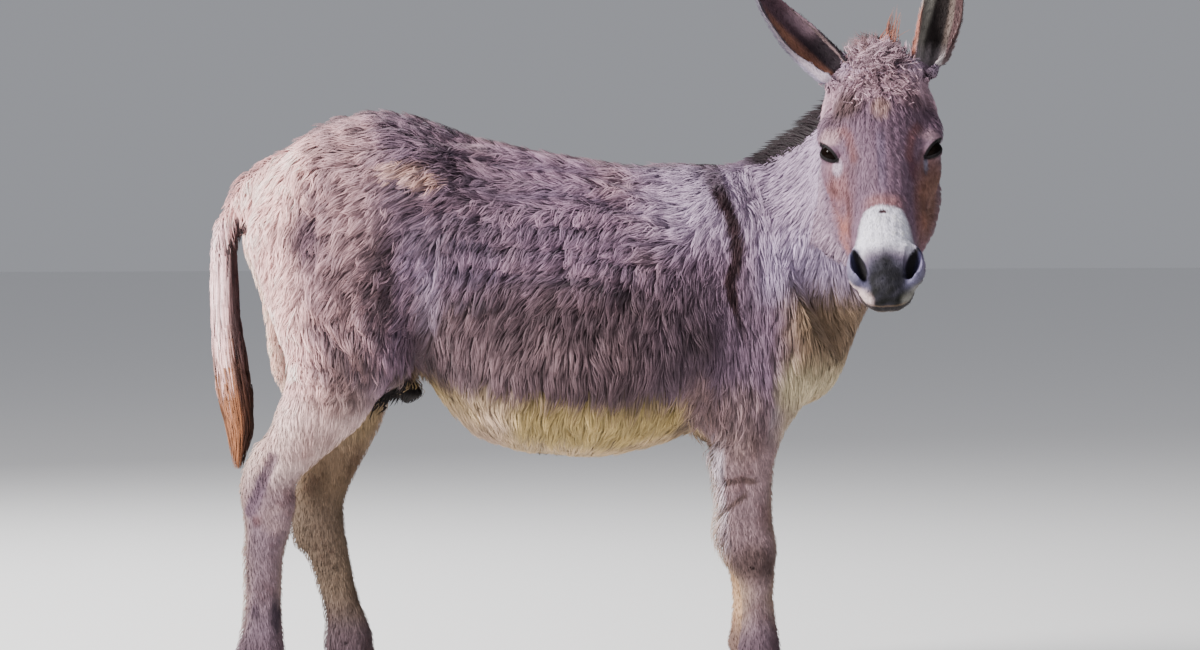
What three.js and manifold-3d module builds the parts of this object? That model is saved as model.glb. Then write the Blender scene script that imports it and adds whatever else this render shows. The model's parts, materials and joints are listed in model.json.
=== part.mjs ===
// A standing donkey at life size, with its head turned to its right.
// Millimetres: +X forward, +Y its left, +Z up.
// The flesh is one smooth field of muscles and bones. It is polygonised, thinned where it is flat, and parted
// into named nodes by thin plane cuts. Ears, eyes, hooves, mane, forelock and tail switch are shaped apart.
import * as THREE from "three";
import { mergeVertices } from "three/addons/utils/BufferGeometryUtils.js";
import Module from "manifold-3d";

const wasm = await Module();
wasm.setup();

// ---------------------------------------------------------------- driving dimensions

const withersHeight = 1083;
const croupHeight = 1168;
const gap = 0.3; // left between neighbouring nodes

// The head's place: the poll is the top of the skull between the ears.
const poll = [481, -330, 1268];
const headFacing = THREE.MathUtils.degToRad(-99.5); // about +Z from +X, so it looks to the animal's right
const headPitch = THREE.MathUtils.degToRad(61); // of the face below the horizon
const headRoll = THREE.MathUtils.degToRad(2.3);

// ---------------------------------------------------------------- forms: a field is under 0 inside the flesh

const FAR = 90; // what a form answers, beyond its own box, is at least this

function softMin(a, b, blend) {
  const near = Math.max(blend - Math.abs(a - b), 0) / blend;
  return Math.min(a, b) - (near * near * blend) / 4;
}

const softMax = (a, b, blend) => -softMin(-a, -b, blend);

function join(blend, ...forms) {
  return (x, y, z) => {
    let least = forms[0](x, y, z);
    for (let i = 1; i < forms.length; i++) least = softMin(least, forms[i](x, y, z), blend);
    return least;
  };
}

// The same form on both sides of the middle plane.
const paired = (form) => (x, y, z) => form(x, Math.abs(y), z);

const carve = (form, hollow, blend) => (x, y, z) => softMax(form(x, y, z), -hollow(x, y, z), blend);

// About how far (l, n, e) lies outside an ellipsoid of radii (w, h, m).
function ellipse(l, n, e, w, h, m) {
  const a = l / w;
  const b = n / h;
  const c = e / m;
  const ratio = Math.sqrt(a * a + b * b + c * c);
  if (ratio < 1e-3) return -Math.min(w, h, m);
  const slope = Math.sqrt((a * a) / (w * w) + (b * b) / (h * h) + (c * c) / (m * m));
  return (ratio * (ratio - 1)) / slope;
}

// An ellipsoid: where, its three radii, and its turn about X, Y and Z in degrees.
function blob(at, radii, turn = [0, 0, 0]) {
  const euler = new THREE.Euler(...turn.map(THREE.MathUtils.degToRad));
  const m = new THREE.Matrix4().makeRotationFromEuler(euler).transpose().elements;
  const reach = Math.max(...radii);
  return (x, y, z) => {
    const dx = x - at[0];
    const dy = y - at[1];
    const dz = z - at[2];
    const out = Math.max(Math.abs(dx), Math.abs(dy), Math.abs(dz)) - reach;
    if (out > FAR) return out;
    return ellipse(
      m[0] * dx + m[4] * dy + m[8] * dz,
      m[1] * dx + m[5] * dy + m[9] * dz,
      m[2] * dx + m[6] * dy + m[10] * dz,
      ...radii,
    );
  };
}

// Stations in between, so that a chain bends and swells smoothly.
function smoothed(stations, steps) {
  const at = new THREE.CatmullRomCurve3(
    stations.map((s) => new THREE.Vector3(...s.at)),
    false,
    "centripetal",
  );
  const between = (key, u) => {
    const i = Math.min(Math.floor(u), stations.length - 2);
    const t = u - i;
    const value = (j) => stations[THREE.MathUtils.clamp(j, 0, stations.length - 1)][key] ?? 0;
    const [p, q, r, s] = [value(i - 1), value(i), value(i + 1), value(i + 2)];
    const cubic = 3 * (q - r) + s - p;
    return q + 0.5 * t * (r - p + t * (2 * p - 5 * q + 4 * r - s + t * cubic));
  };
  const count = (stations.length - 1) * steps;
  return Array.from({ length: count + 1 }, (_, k) => {
    const u = k / steps;
    return {
      at: at.getPoint(k / count),
      deep: between("deep", u),
      wide: between("wide", u),
      taper: between("taper", u),
    };
  });
}

// A bent limb of elliptic section. Each station has its centre, the half depth and half width there, and a
// taper: how much wider the section is at its front or top edge than at its middle. side is the width's
// direction; without one it lies level across the chain.
function chain(stations, { side = null, steps = 3, cap = null } = {}) {
  const fine = smoothed(stations, steps);
  const links = [];
  const low = new THREE.Vector3(Infinity, Infinity, Infinity);
  const high = low.clone().negate();
  for (let i = 0; i + 1 < fine.length; i++) {
    const a = fine[i];
    const b = fine[i + 1];
    const axis = b.at.clone().sub(a.at);
    const length = axis.length();
    axis.divideScalar(length);
    const across = side ? new THREE.Vector3(...side) : new THREE.Vector3(-axis.y, axis.x, 0);
    across.addScaledVector(axis, -across.dot(axis)).normalize();
    links.push({ a, b, axis, length, across, front: axis.clone().cross(across) });
    for (const s of [a, b]) {
      const reach = Math.max(s.deep, s.wide * (1 + Math.abs(s.taper)));
      low.min(s.at.clone().subScalar(reach));
      high.max(s.at.clone().addScalar(reach));
    }
  }
  return (x, y, z) => {
    const out = Math.max(low.x - x, x - high.x, low.y - y, y - high.y, low.z - z, z - high.z);
    if (out > FAR) return out;
    let least = Infinity;
    for (const { a, b, axis, length, across, front } of links) {
      const dx = x - a.at.x;
      const dy = y - a.at.y;
      const dz = z - a.at.z;
      const along = dx * axis.x + dy * axis.y + dz * axis.z;
      const t = Math.min(Math.max(along / length, 0), 1);
      const deep = a.deep + t * (b.deep - a.deep);
      const n = dx * front.x + dy * front.y + dz * front.z;
      const tapered = 1 + (a.taper + t * (b.taper - a.taper)) * Math.min(Math.max(n / deep, -1), 1);
      const wide = (a.wide + t * (b.wide - a.wide)) * tapered;
      const l = dx * across.x + dy * across.y + dz * across.z;
      const beyond = along - t * length;
      const end = cap ?? Math.min(deep, wide);
      least = Math.min(least, ellipse(l, n, beyond, wide, deep, end));
    }
    return least;
  };
}

// A form along X given by rows of [x, top, bottom, half width, taper]. It swells smoothly from row to row.
function lofted(rows, cap) {
  const first = rows[0][0];
  const last = rows[rows.length - 1][0];
  const pitch = 4;
  const slope = (i, k) => {
    const [p, q] = [rows[Math.max(i - 1, 0)], rows[Math.min(i + 1, rows.length - 1)]];
    return (q[k] - p[k]) / (q[0] - p[0]);
  };
  const fine = Array.from({ length: Math.ceil((last - first) / pitch) + 2 }, (_, step) => {
    const x = Math.min(first + step * pitch, last);
    const i = Math.max(rows.findIndex((row) => row[0] >= x), 1) - 1;
    const width = rows[i + 1][0] - rows[i][0];
    const t = (x - rows[i][0]) / width;
    return [1, 2, 3, 4].map((k) => {
      const [p, q] = [rows[i][k], rows[i + 1][k]];
      const [dp, dq] = [slope(i, k) * width, slope(i + 1, k) * width];
      return p + t * (dp + t * (3 * (q - p) - 2 * dp - dq + t * (2 * (p - q) + dp + dq)));
    });
  });
  const highest = Math.max(...rows.map((row) => row[1]));
  const lowest = Math.min(...rows.map((row) => row[2]));
  const widest = 1.3 * Math.max(...rows.map((row) => row[3]));
  return (x, y, z) => {
    const out = Math.max(first - cap - x, x - last - cap, lowest - z, z - highest, Math.abs(y) - widest);
    if (out > FAR) return out;
    const along = Math.min(Math.max(x, first), last);
    const place = (along - first) / pitch;
    const i = Math.floor(place);
    const [top, bottom, half, taper] = fine[i].map((v, k) => v + (place - i) * (fine[i + 1][k] - v));
    const deep = (top - bottom) / 2;
    const n = z - (top + bottom) / 2;
    const wide = half * (1 + taper * Math.min(Math.max(n / deep, -1), 1));
    return ellipse(y, n, x - along, wide, deep, cap);
  };
}

// ---------------------------------------------------------------- the body's forms

const barrel = lofted(
  [
    [-610, 1080, 880, 70, 0],
    [-540, 1136, 800, 120, -0.1],
    [-440, croupHeight - 4, 740, 165, -0.2],
    [-350, 1154, 678, 190, -0.25],
    [-295, 1136, 606, 204, -0.28],
    [-240, 1118, 547, 214, -0.3],
    [-180, 1104, 523, 224, -0.31],
    [-100, 1088, 513, 233, -0.32],
    [0, 1068, 508, 236, -0.34],
    [110, 1058, 530, 216, -0.36],
    [210, 1058, 560, 180, -0.38],
    [300, 1030, 582, 146, -0.3],
    [375, 960, 610, 118, -0.1],
  ],
  60,
);

const withersRidge = chain([
  { at: [110, 0, 1010], deep: 44, wide: 38 },
  { at: [205, 0, withersHeight - 56], deep: 50, wide: 36 },
  { at: [290, 0, 1000], deep: 52, wide: 40 },
]);

const hipBones = paired(blob([-372, 108, 1050], [70, 50, 52], [0, 18, 0]));

const rump = paired(
  chain([
    { at: [-420, 72, 1026], deep: 120, wide: 92 },
    { at: [-530, 80, 982], deep: 120, wide: 94 },
    { at: [-606, 78, 930], deep: 84, wide: 70 },
  ]),
);

const shoulders = paired(
  chain(
    [
      { at: [205, 84, 985], deep: 50, wide: 40 },
      { at: [280, 116, 870], deep: 90, wide: 48 },
      { at: [368, 118, 735], deep: 86, wide: 62 },
    ],
    { side: [0, 1, 0] },
  ),
);

const upperArms = paired(
  chain(
    [
      { at: [370, 112, 735], deep: 70, wide: 58 },
      { at: [300, 122, 650], deep: 88, wide: 58 },
      { at: [262, 122, 590], deep: 80, wide: 52 },
    ],
    { side: [0, 1, 0] },
  ),
);

const breast = paired(blob([398, 52, 705], [68, 60, 92], [0, 12, 0]));

const neckStations = [
  { at: [262, 0, 850], deep: 176, wide: 116, taper: -0.3 },
  { at: [352, -26, 885], deep: 182, wide: 102, taper: -0.35 },
  { at: [428, -88, 962], deep: 172, wide: 90, taper: -0.35 },
  { at: [476, -172, 1046], deep: 150, wide: 82, taper: -0.3 },
  { at: [488, -268, 1112], deep: 130, wide: 78, taper: -0.2 },
];
const neck = chain(neckStations);

// The tail's flesh, down to where only its long hair goes on. The rump grows its first part.
const dockStations = [
  { at: [-622, 0, 1042], deep: 40, wide: 40 },
  { at: [-672, 0, 1022], deep: 33, wide: 32 },
  { at: [-708, 0, 970], deep: 26, wide: 26 },
  { at: [-722, -2, 900], deep: 23, wide: 22 },
  { at: [-724, -4, 820], deep: 23, wide: 21 },
  { at: [-720, -6, 750], deep: 20, wide: 18 },
];
const dock = chain(dockStations);
const dockRoot = chain(dockStations.slice(0, 4));

const sheath = join(
  16,
  chain([
    { at: [-428, 0, 680], deep: 42, wide: 34 },
    { at: [-392, 0, 642], deep: 38, wide: 32 },
    { at: [-366, 0, 612], deep: 26, wide: 23 },
  ]),
  blob([-440, 0, 630], [44, 37, 38], [0, -24, 0]),
);

// A foreleg with its knee, fetlock and hoof at the given places along X, on one side of the middle plane.
function foreleg(side, { knee, fetlock, hoof }) {
  const y = (distance) => side * distance;
  const bones = chain(
    [
      { at: [262, y(122), 610], deep: 84, wide: 52 },
      { at: [268, y(118), 520], deep: 62, wide: 46 },
      { at: [(268 + knee) / 2, y(112), 440], deep: 50, wide: 39 },
      { at: [knee, y(108), 385], deep: 46, wide: 36 },
      { at: [knee, y(106), 345], deep: 47, wide: 38 },
      { at: [knee + 1, y(105), 312], deep: 41, wide: 34 },
      { at: [(knee + fetlock) / 2, y(104), 268], deep: 31, wide: 25 },
      { at: [(knee + 3 * fetlock) / 4, y(103), 205], deep: 31, wide: 24 },
      { at: [fetlock, y(102), 148], deep: 40, wide: 31 },
      { at: [fetlock + 4, y(102), 122], deep: 39, wide: 32 },
      { at: [(fetlock + hoof) / 2 + 2, y(101), 92], deep: 32, wide: 29 },
      { at: [hoof - 8, y(100), 64], deep: 38, wide: 34 },
      { at: [hoof - 2, y(100), 46], deep: 42, wide: 37 },
    ],
    { side: [0, 1, 0], steps: 2 },
  );
  return join(
    14,
    bones,
    blob([knee + 16, y(106), 350], [30, 30, 34]),
    blob([knee - 36, y(106), 372], [18, 17, 26]),
    blob([fetlock - 24, y(102), 130], [20, 24, 24]),
  );
}

// A hind leg with its thigh: where the stifle, hock, fetlock and hoof are, and the hock's height.
function hindLeg(side, { stifle, hock, hockHeight, fetlock, hoof }) {
  const y = (distance) => side * distance;
  const drop = hockHeight - 445;
  const gaskin = (share, height) => [stifle + share * (hock - stifle), y(136 - 15 * share), height];
  const bones = chain(
    [
      { at: [stifle - 62, y(102), 905], deep: 146, wide: 98 },
      { at: [stifle - 58, y(118), 800], deep: 138, wide: 86 },
      { at: [stifle - 46, y(130), 705 + drop / 4], deep: 112, wide: 72 },
      { at: gaskin(0.46, 615 + drop / 2), deep: 80, wide: 56 },
      { at: gaskin(0.74, 540 + 0.8 * drop), deep: 60, wide: 43 },
      { at: gaskin(0.94, 478 + drop), deep: 48, wide: 35 },
      { at: [hock + 4, y(121), 432 + drop], deep: 48, wide: 36 },
      { at: [(3 * hock + fetlock) / 4, y(119), 380 + 0.8 * drop], deep: 40, wide: 31 },
      { at: [(hock + fetlock) / 2, y(118), 305 + drop / 2], deep: 34, wide: 25 },
      { at: [(hock + 3 * fetlock) / 4, y(117), 225 + drop / 4], deep: 33, wide: 25 },
      { at: [fetlock, y(116), 152], deep: 41, wide: 32 },
      { at: [fetlock + 3, y(116), 124], deep: 40, wide: 33 },
      { at: [(fetlock + hoof) / 2, y(116), 94], deep: 32, wide: 29 },
      { at: [hoof - 8, y(116), 64], deep: 38, wide: 33 },
      { at: [hoof - 2, y(116), 46], deep: 41, wide: 36 },
    ],
    { side: [0, 1, 0], steps: 2 },
  );
  const hamstring = chain(
    [
      { at: [-612, y(92), 905], deep: 66, wide: 62 },
      { at: [-592, y(112), 790], deep: 52, wide: 56 },
      { at: [-566 + drop / 3, y(124), 690 + drop / 4], deep: 46, wide: 46 },
      { at: gaskin(0.66, 590 + drop / 2), deep: 56, wide: 34 },
    ],
    { side: [0, 1, 0] },
  );
  const hockPoint = chain(
    [
      { at: [hock - 2, y(122), 530 + drop], deep: 26, wide: 13 },
      { at: [hock - 34, y(121), hockHeight + 22], deep: 23, wide: 18 },
      { at: [hock - 22, y(120), hockHeight - 50], deep: 18, wide: 16 },
    ],
    { side: [0, 1, 0] },
  );
  const stifleCap = blob([stifle + 18, y(140), 712 + drop / 4], [46, 32, 58], [0, 20, 0]);
  const ergot = blob([fetlock - 25, y(116), 132], [20, 25, 24]);
  return join(24, bones, hamstring, hockPoint, stifleCap, ergot);
}

const frontJoints = {
  right: { knee: 276, fetlock: 296, hoof: 330 },
  left: { knee: 288, fetlock: 308, hoof: 342 },
};
const hindJoints = {
  right: { stifle: -440, hock: -648, hockHeight: 448, fetlock: -654, hoof: -618 },
  left: { stifle: -436, hock: -534, hockHeight: 390, fetlock: -470, hoof: -428 },
};

const legPoses = {
  front_right: foreleg(-1, frontJoints.right),
  front_left: foreleg(1, frontJoints.left),
  hind_right: hindLeg(-1, hindJoints.right),
  hind_left: hindLeg(1, hindJoints.left),
};

const body = (() => {
  const trunk = join(60, barrel, withersRidge, hipBones, rump, shoulders, upperArms, breast);
  const withNeck = join(64, trunk, neck);
  const withLegs = join(42, withNeck, ...Object.values(legPoses));
  return join(24, withLegs, dockRoot, sheath);
})();

// ---------------------------------------------------------------- the head, in its own frame
// X runs from the poll down the face, Y to its left, Z out of the forehead.

const headFrame = (() => {
  const facing = new THREE.Matrix4().makeRotationZ(headFacing);
  const pitch = new THREE.Matrix4().makeRotationY(headPitch);
  const turn = facing.multiply(pitch);
  const roll = new THREE.Matrix4().makeRotationAxis(
    new THREE.Vector3(Math.cos(headFacing), Math.sin(headFacing), 0),
    headRoll,
  );
  return new THREE.Matrix4().makeTranslation(...poll).multiply(roll).multiply(turn);
})();

const skull = paired(
  join(
    14,
    lofted(
      [
        [4, -14, -130, 80, 0],
        [60, 6, -196, 108, 0.04],
        [120, 16, -222, 110, 0.02],
        [190, 12, -214, 97, -0.04],
        [255, 0, -190, 84, -0.14],
        [320, -10, -160, 74, -0.2],
        [372, -16, -136, 56, -0.1],
        [420, -24, -128, 52, 0],
        [456, -40, -124, 40, 0],
      ],
      26,
    ),
    blob([84, 0, -14], [84, 80, 34]), // forehead
    blob([12, 72, -34], [38, 34, 38]), // root of the ear
    blob([138, 80, -52], [52, 39, 31]), // brow over the orbit
    blob([208, 80, -80], [58, 32, 36], [0, 0, -14]), // cheek bone under the eye
    chain(
      [
        { at: [232, 82, -94], deep: 16, wide: 13 },
        { at: [310, 60, -86], deep: 14, wide: 12 },
      ],
      { side: [0, 1, 0] },
    ), // facial crest
    blob([182, 68, -152], [94, 40, 78], [0, -12, 0]), // masseter
    chain(
      [
        { at: [210, 74, -166], deep: 46, wide: 38 },
        { at: [278, 64, -146], deep: 42, wide: 35 },
        { at: [342, 46, -120], deep: 26, wide: 27 },
      ],
      { side: [0, 1, 0] },
    ), // bar of the lower jaw
    chain(
      [
        { at: [200, 0, -14], deep: 22, wide: 42 },
        { at: [320, 0, -28], deep: 20, wide: 40 },
        { at: [414, 0, -40], deep: 20, wide: 36 },
      ],
      { side: [0, 1, 0] },
    ), // bridge of the nose
    blob([409, 46, -57], [44, 27, 40], [0, 0, 8]), // nostril's outer wing
    blob([452, 14, -82], [32, 36, 34]), // upper lip
    blob([432, 12, -124], [38, 32, 17]), // lower lip and chin
  ),
);

// The left eye: the ball's centre, and the opening's outward direction and its long axis.
const eyeRadius = 22;
const eyeAt = [174, 90, -51];
const eyeOut = [0.08, 0.7, 0.71];
const eyeLong = [-0.51, 0.664, -0.546];
const nostrilAt = [411, 47, -31];

const headHollows = paired(
  join(
    6,
    chain([
      { at: [nostrilAt[0] - 24, nostrilAt[1] + 1, nostrilAt[2] + 4], deep: 12, wide: 6 },
      { at: [nostrilAt[0] - 8, nostrilAt[1] + 3, nostrilAt[2] + 2], deep: 19, wide: 13 },
      { at: [nostrilAt[0] + 8, nostrilAt[1] + 1, nostrilAt[2] - 4], deep: 20, wide: 15 },
      { at: [nostrilAt[0] + 22, nostrilAt[1] - 5, nostrilAt[2] - 14], deep: 14, wide: 11 },
    ]),
    blob([70, 92, -30], [30, 12, 14]),
  ),
);

const headLocal = carve(skull, headHollows, 8);

const toHead = headFrame.clone().invert().elements;
const headInPlace = (x, y, z) =>
  headLocal(
    toHead[0] * x + toHead[4] * y + toHead[8] * z + toHead[12],
    toHead[1] * x + toHead[5] * y + toHead[9] * z + toHead[13],
    toHead[2] * x + toHead[6] * y + toHead[10] * z + toHead[14],
  );

const donkey = (x, y, z) => softMin(body(x, y, z), headInPlace(x, y, z), 40);

// ---------------------------------------------------------------- from a field to a thinned closed mesh

// The six tetrahedra of a cube, as the order in which the three axes are stepped along.
const TETRAHEDRA = [
  [1, 2, 4, 1], [2, 4, 1, 1], [4, 1, 2, 1],
  [2, 1, 4, -1], [1, 4, 2, -1], [4, 2, 1, -1],
];
// Which corners are inside gives the triangles: pairs of corners whose edges they join, facing out.
const EVEN = { 1: [0, 1, 2, 3], 2: [1, 0, 3, 2], 4: [2, 3, 0, 1], 8: [3, 2, 1, 0] };
const EVEN_PAIR = {
  3: [0, 1, 2, 3], 5: [0, 2, 3, 1], 9: [0, 3, 1, 2],
  6: [1, 2, 0, 3], 10: [1, 3, 2, 0], 12: [2, 3, 0, 1],
};

function polygonise(field, low, high, step) {
  const [nx, ny, nz] = [0, 1, 2].map((k) => Math.ceil((high[k] - low[k]) / step) + 1);
  const values = new Float32Array(nx * ny * nz);
  const index = (i, j, k) => i + nx * (j + ny * k);
  for (let k = 0; k < nz; k++)
    for (let j = 0; j < ny; j++)
      for (let i = 0; i < nx; i++) {
        const rim = i === 0 || j === 0 || k === 0 || i === nx - 1 || j === ny - 1 || k === nz - 1;
        const value = rim ? step : field(low[0] + i * step, low[1] + j * step, low[2] + k * step);
        values[index(i, j, k)] = value === 0 ? 1e-4 : value;
      }
  const offset = [];
  for (let c = 0; c < 8; c++) offset[c] = index(c & 1, (c >> 1) & 1, (c >> 2) & 1);
  const onEdge = new Map();
  const points = [];
  const triangles = [];
  const vertex = (base, from, to) => {
    const [a, b] = from < to ? [from, to] : [to, from];
    const key = (base + offset[a]) * 8 + (b - a);
    let found = onEdge.get(key);
    if (found === undefined) {
      const va = values[base + offset[a]];
      const vb = values[base + offset[b]];
      const t = THREE.MathUtils.clamp(va / (va - vb), 0.02, 0.98);
      const i = base % nx;
      const j = Math.floor(base / nx) % ny;
      const k = Math.floor(base / (nx * ny));
      const mix = (p, bit) => p + (1 - t) * ((a >> bit) & 1) + t * ((b >> bit) & 1);
      found = points.length / 3;
      points.push(low[0] + step * mix(i, 0), low[1] + step * mix(j, 1), low[2] + step * mix(k, 2));
      onEdge.set(key, found);
    }
    return found;
  };
  for (let k = 0; k + 1 < nz; k++)
    for (let j = 0; j + 1 < ny; j++)
      for (let i = 0; i + 1 < nx; i++) {
        const base = index(i, j, k);
        let inside = 0;
        for (let c = 0; c < 8; c++) if (values[base + offset[c]] < 0) inside++;
        if (inside === 0 || inside === 8) continue;
        for (const [p, q, , parity] of TETRAHEDRA) {
          const corners = parity > 0 ? [0, p, p | q, 7] : [0, p, 7, p | q];
          let mask = 0;
          for (let c = 0; c < 4; c++) if (values[base + offset[corners[c]]] < 0) mask |= 1 << c;
          if (mask === 0 || mask === 15) continue;
          const edge = (m, n) => vertex(base, corners[m], corners[n]);
          if (EVEN_PAIR[mask]) {
            const [a, b, c, d] = EVEN_PAIR[mask];
            triangles.push(edge(a, c), edge(a, d), edge(b, d), edge(a, c), edge(b, d), edge(b, c));
          } else if (EVEN[mask]) {
            const [a, b, c, d] = EVEN[mask];
            triangles.push(edge(a, b), edge(a, c), edge(a, d));
          } else {
            const [a, b, c, d] = EVEN[15 - mask];
            triangles.push(edge(a, b), edge(a, d), edge(a, c));
          }
        }
      }
  return { points, triangles };
}

// Slides every point towards the middle of its neighbours and back onto the surface, which evens the mesh.
function relaxed({ points, triangles }, field, rounds = 3) {
  const count = points.length / 3;
  let at = Float64Array.from(points);
  for (let round = 0; round < rounds; round++) {
    const sum = new Float64Array(points.length);
    const weight = new Uint16Array(count);
    for (let t = 0; t < triangles.length; t += 3)
      for (let k = 0; k < 3; k++) {
        const [a, b] = [triangles[t + k], triangles[t + ((k + 1) % 3)]];
        for (let c = 0; c < 3; c++) sum[3 * a + c] += at[3 * b + c];
        weight[a]++;
      }
    const next = new Float64Array(points.length);
    for (let v = 0; v < count; v++) {
      let [x, y, z] = [0, 1, 2].map((c) => sum[3 * v + c] / weight[v]);
      const value = field(x, y, z);
      const slope = [field(x + 1, y, z) - value, field(x, y + 1, z) - value, field(x, y, z + 1) - value];
      const steep = slope[0] ** 2 + slope[1] ** 2 + slope[2] ** 2 + 1e-6;
      const move = Math.min(Math.max(value / steep, -12), 12);
      next.set([x - move * slope[0], y - move * slope[1], z - move * slope[2]], 3 * v);
    }
    at = next;
  }
  return { points: Array.from(at), triangles };
}

// Collapses the edges whose loss shows least, by the sum of squared distances to the planes they carried.
function thin({ points, triangles }, target) {
  const vertexCount = points.length / 3;
  const planes = new Float64Array(vertexCount * 10);
  const faces = Array.from({ length: vertexCount }, () => new Set());
  const version = new Uint32Array(vertexCount);
  const alive = new Uint8Array(triangles.length / 3).fill(1);
  const normal = (a, b, c) => {
    const [ux, uy, uz] = [0, 1, 2].map((k) => points[3 * b + k] - points[3 * a + k]);
    const [vx, vy, vz] = [0, 1, 2].map((k) => points[3 * c + k] - points[3 * a + k]);
    return [uy * vz - uz * vy, uz * vx - ux * vz, ux * vy - uy * vx];
  };
  for (let f = 0; f < triangles.length / 3; f++) {
    const corner = [triangles[3 * f], triangles[3 * f + 1], triangles[3 * f + 2]];
    const [x, y, z] = normal(...corner);
    const twice = Math.hypot(x, y, z) || 1e-9;
    const n = [x / twice, y / twice, z / twice];
    const a = corner[0];
    const d = -(n[0] * points[3 * a] + n[1] * points[3 * a + 1] + n[2] * points[3 * a + 2]);
    const p = [...n, d];
    for (const v of corner) {
      faces[v].add(f);
      let m = 10 * v;
      for (let i = 0; i < 4; i++) for (let j = i; j < 4; j++) planes[m++] += (p[i] * p[j] * twice) / 2;
    }
  }
  const error = (q, x, y, z) =>
    q[0] * x * x + 2 * q[1] * x * y + 2 * q[2] * x * z + 2 * q[3] * x +
    q[4] * y * y + 2 * q[5] * y * z + 2 * q[6] * y + q[7] * z * z + 2 * q[8] * z + q[9];
  const evenness = 4e-4; // how much a long edge costs, which keeps the triangles of a flat place alike
  const heap = [];
  const push = (item) => {
    let i = heap.push(item) - 1;
    while (i > 0) {
      const up = (i - 1) >> 1;
      if (heap[up].cost <= item.cost) break;
      heap[i] = heap[up];
      i = up;
    }
    heap[i] = item;
  };
  const pop = () => {
    const top = heap[0];
    const last = heap.pop();
    if (heap.length) {
      let i = 0;
      for (;;) {
        let child = 2 * i + 1;
        if (child >= heap.length) break;
        if (child + 1 < heap.length && heap[child + 1].cost < heap[child].cost) child++;
        if (heap[child].cost >= last.cost) break;
        heap[i] = heap[child];
        i = child;
      }
      heap[i] = last;
    }
    return top;
  };
  const consider = (a, b) => {
    const q = new Float64Array(10);
    for (let i = 0; i < 10; i++) q[i] = planes[10 * a + i] + planes[10 * b + i];
    const middle = [0, 1, 2].map((k) => (points[3 * a + k] + points[3 * b + k]) / 2);
    const hold = 1e-3 * (q[0] + q[4] + q[7]) + 1e-9;
    const m = new THREE.Matrix3().set(
      q[0] + hold, q[1], q[2], q[1], q[4] + hold, q[5], q[2], q[5], q[7] + hold,
    );
    const best = new THREE.Vector3(
      hold * middle[0] - q[3],
      hold * middle[1] - q[6],
      hold * middle[2] - q[8],
    ).applyMatrix3(m.invert());
    const long2 = [0, 1, 2].reduce((sum, k) => sum + (points[3 * a + k] - points[3 * b + k]) ** 2, 0);
    const from = best.distanceToSquared(new THREE.Vector3(...middle));
    if (!(from < 4 * long2)) best.set(...middle);
    const cost = Math.max(error(q, best.x, best.y, best.z), 0) + evenness * long2 * long2;
    push({ a, b, cost, best, stamp: version[a] + version[b] * 65536 });
  };
  const neighbours = (v) => {
    const found = new Set();
    for (const f of faces[v]) for (let k = 0; k < 3; k++) found.add(triangles[3 * f + k]);
    found.delete(v);
    return found;
  };
  for (let f = 0; f < triangles.length / 3; f++)
    for (let k = 0; k < 3; k++) {
      const a = triangles[3 * f + k];
      const b = triangles[3 * f + ((k + 1) % 3)];
      if (a < b) consider(a, b);
    }
  const turnsOver = (v, other, best) => {
    for (const f of faces[v]) {
      const corner = [triangles[3 * f], triangles[3 * f + 1], triangles[3 * f + 2]];
      if (corner.includes(other)) continue;
      const before = normal(...corner);
      const at = corner.map((c) => (c === v ? [best.x, best.y, best.z] : points.slice(3 * c, 3 * c + 3)));
      const [ux, uy, uz] = [0, 1, 2].map((k) => at[1][k] - at[0][k]);
      const [vx, vy, vz] = [0, 1, 2].map((k) => at[2][k] - at[0][k]);
      const after = [uy * vz - uz * vy, uz * vx - ux * vz, ux * vy - uy * vx];
      const dot = before[0] * after[0] + before[1] * after[1] + before[2] * after[2];
      const size = Math.hypot(...after);
      if (dot < 0.5 * Math.hypot(...before) * size) return true;
      const longest = Math.max(ux * ux + uy * uy + uz * uz, vx * vx + vy * vy + vz * vz);
      if (size < 0.2 * longest) return true;
    }
    return false;
  };
  let count = triangles.length / 3;
  while (count > target && heap.length) {
    const { a, b, best, stamp } = pop();
    if (stamp !== version[a] + version[b] * 65536 || !faces[a].size || !faces[b].size) continue;
    const round = neighbours(a);
    const shared = [...neighbours(b)].filter((v) => round.has(v));
    if (shared.length !== 2 || shared.some((v) => faces[v].size < 4)) continue;
    if (turnsOver(a, b, best) || turnsOver(b, a, best)) continue;
    points[3 * a] = best.x;
    points[3 * a + 1] = best.y;
    points[3 * a + 2] = best.z;
    for (let i = 0; i < 10; i++) planes[10 * a + i] += planes[10 * b + i];
    for (const f of [...faces[b]]) {
      const corner = [triangles[3 * f], triangles[3 * f + 1], triangles[3 * f + 2]];
      if (corner.includes(a)) {
        alive[f] = 0;
        count--;
        for (const v of corner) faces[v].delete(f);
      } else {
        for (let k = 0; k < 3; k++) if (triangles[3 * f + k] === b) triangles[3 * f + k] = a;
        faces[a].add(f);
      }
    }
    faces[b].clear();
    const ring = neighbours(a);
    version[a]++;
    for (const v of ring) consider(a, v);
  }
  const kept = [];
  for (let f = 0; f < alive.length; f++) if (alive[f]) kept.push(...triangles.slice(3 * f, 3 * f + 3));
  const used = new Map();
  const packed = [];
  const renumbered = kept.map((v) => {
    if (!used.has(v)) {
      used.set(v, used.size);
      packed.push(points[3 * v], points[3 * v + 1], points[3 * v + 2]);
    }
    return used.get(v);
  });
  return { points: packed, triangles: renumbered };
}

// ---------------------------------------------------------------- solids

const solidFrom = ({ points, triangles }) =>
  new wasm.Manifold(
    new wasm.Mesh({
      numProp: 3,
      vertProperties: new Float32Array(points),
      triVerts: new Uint32Array(triangles),
    }),
  );

function solidOf(geometry) {
  const plain = geometry.clone();
  plain.deleteAttribute("normal");
  plain.deleteAttribute("uv");
  const merged = mergeVertices(plain, 1e-3);
  return solidFrom({ points: merged.attributes.position.array, triangles: merged.index.array });
}

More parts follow.
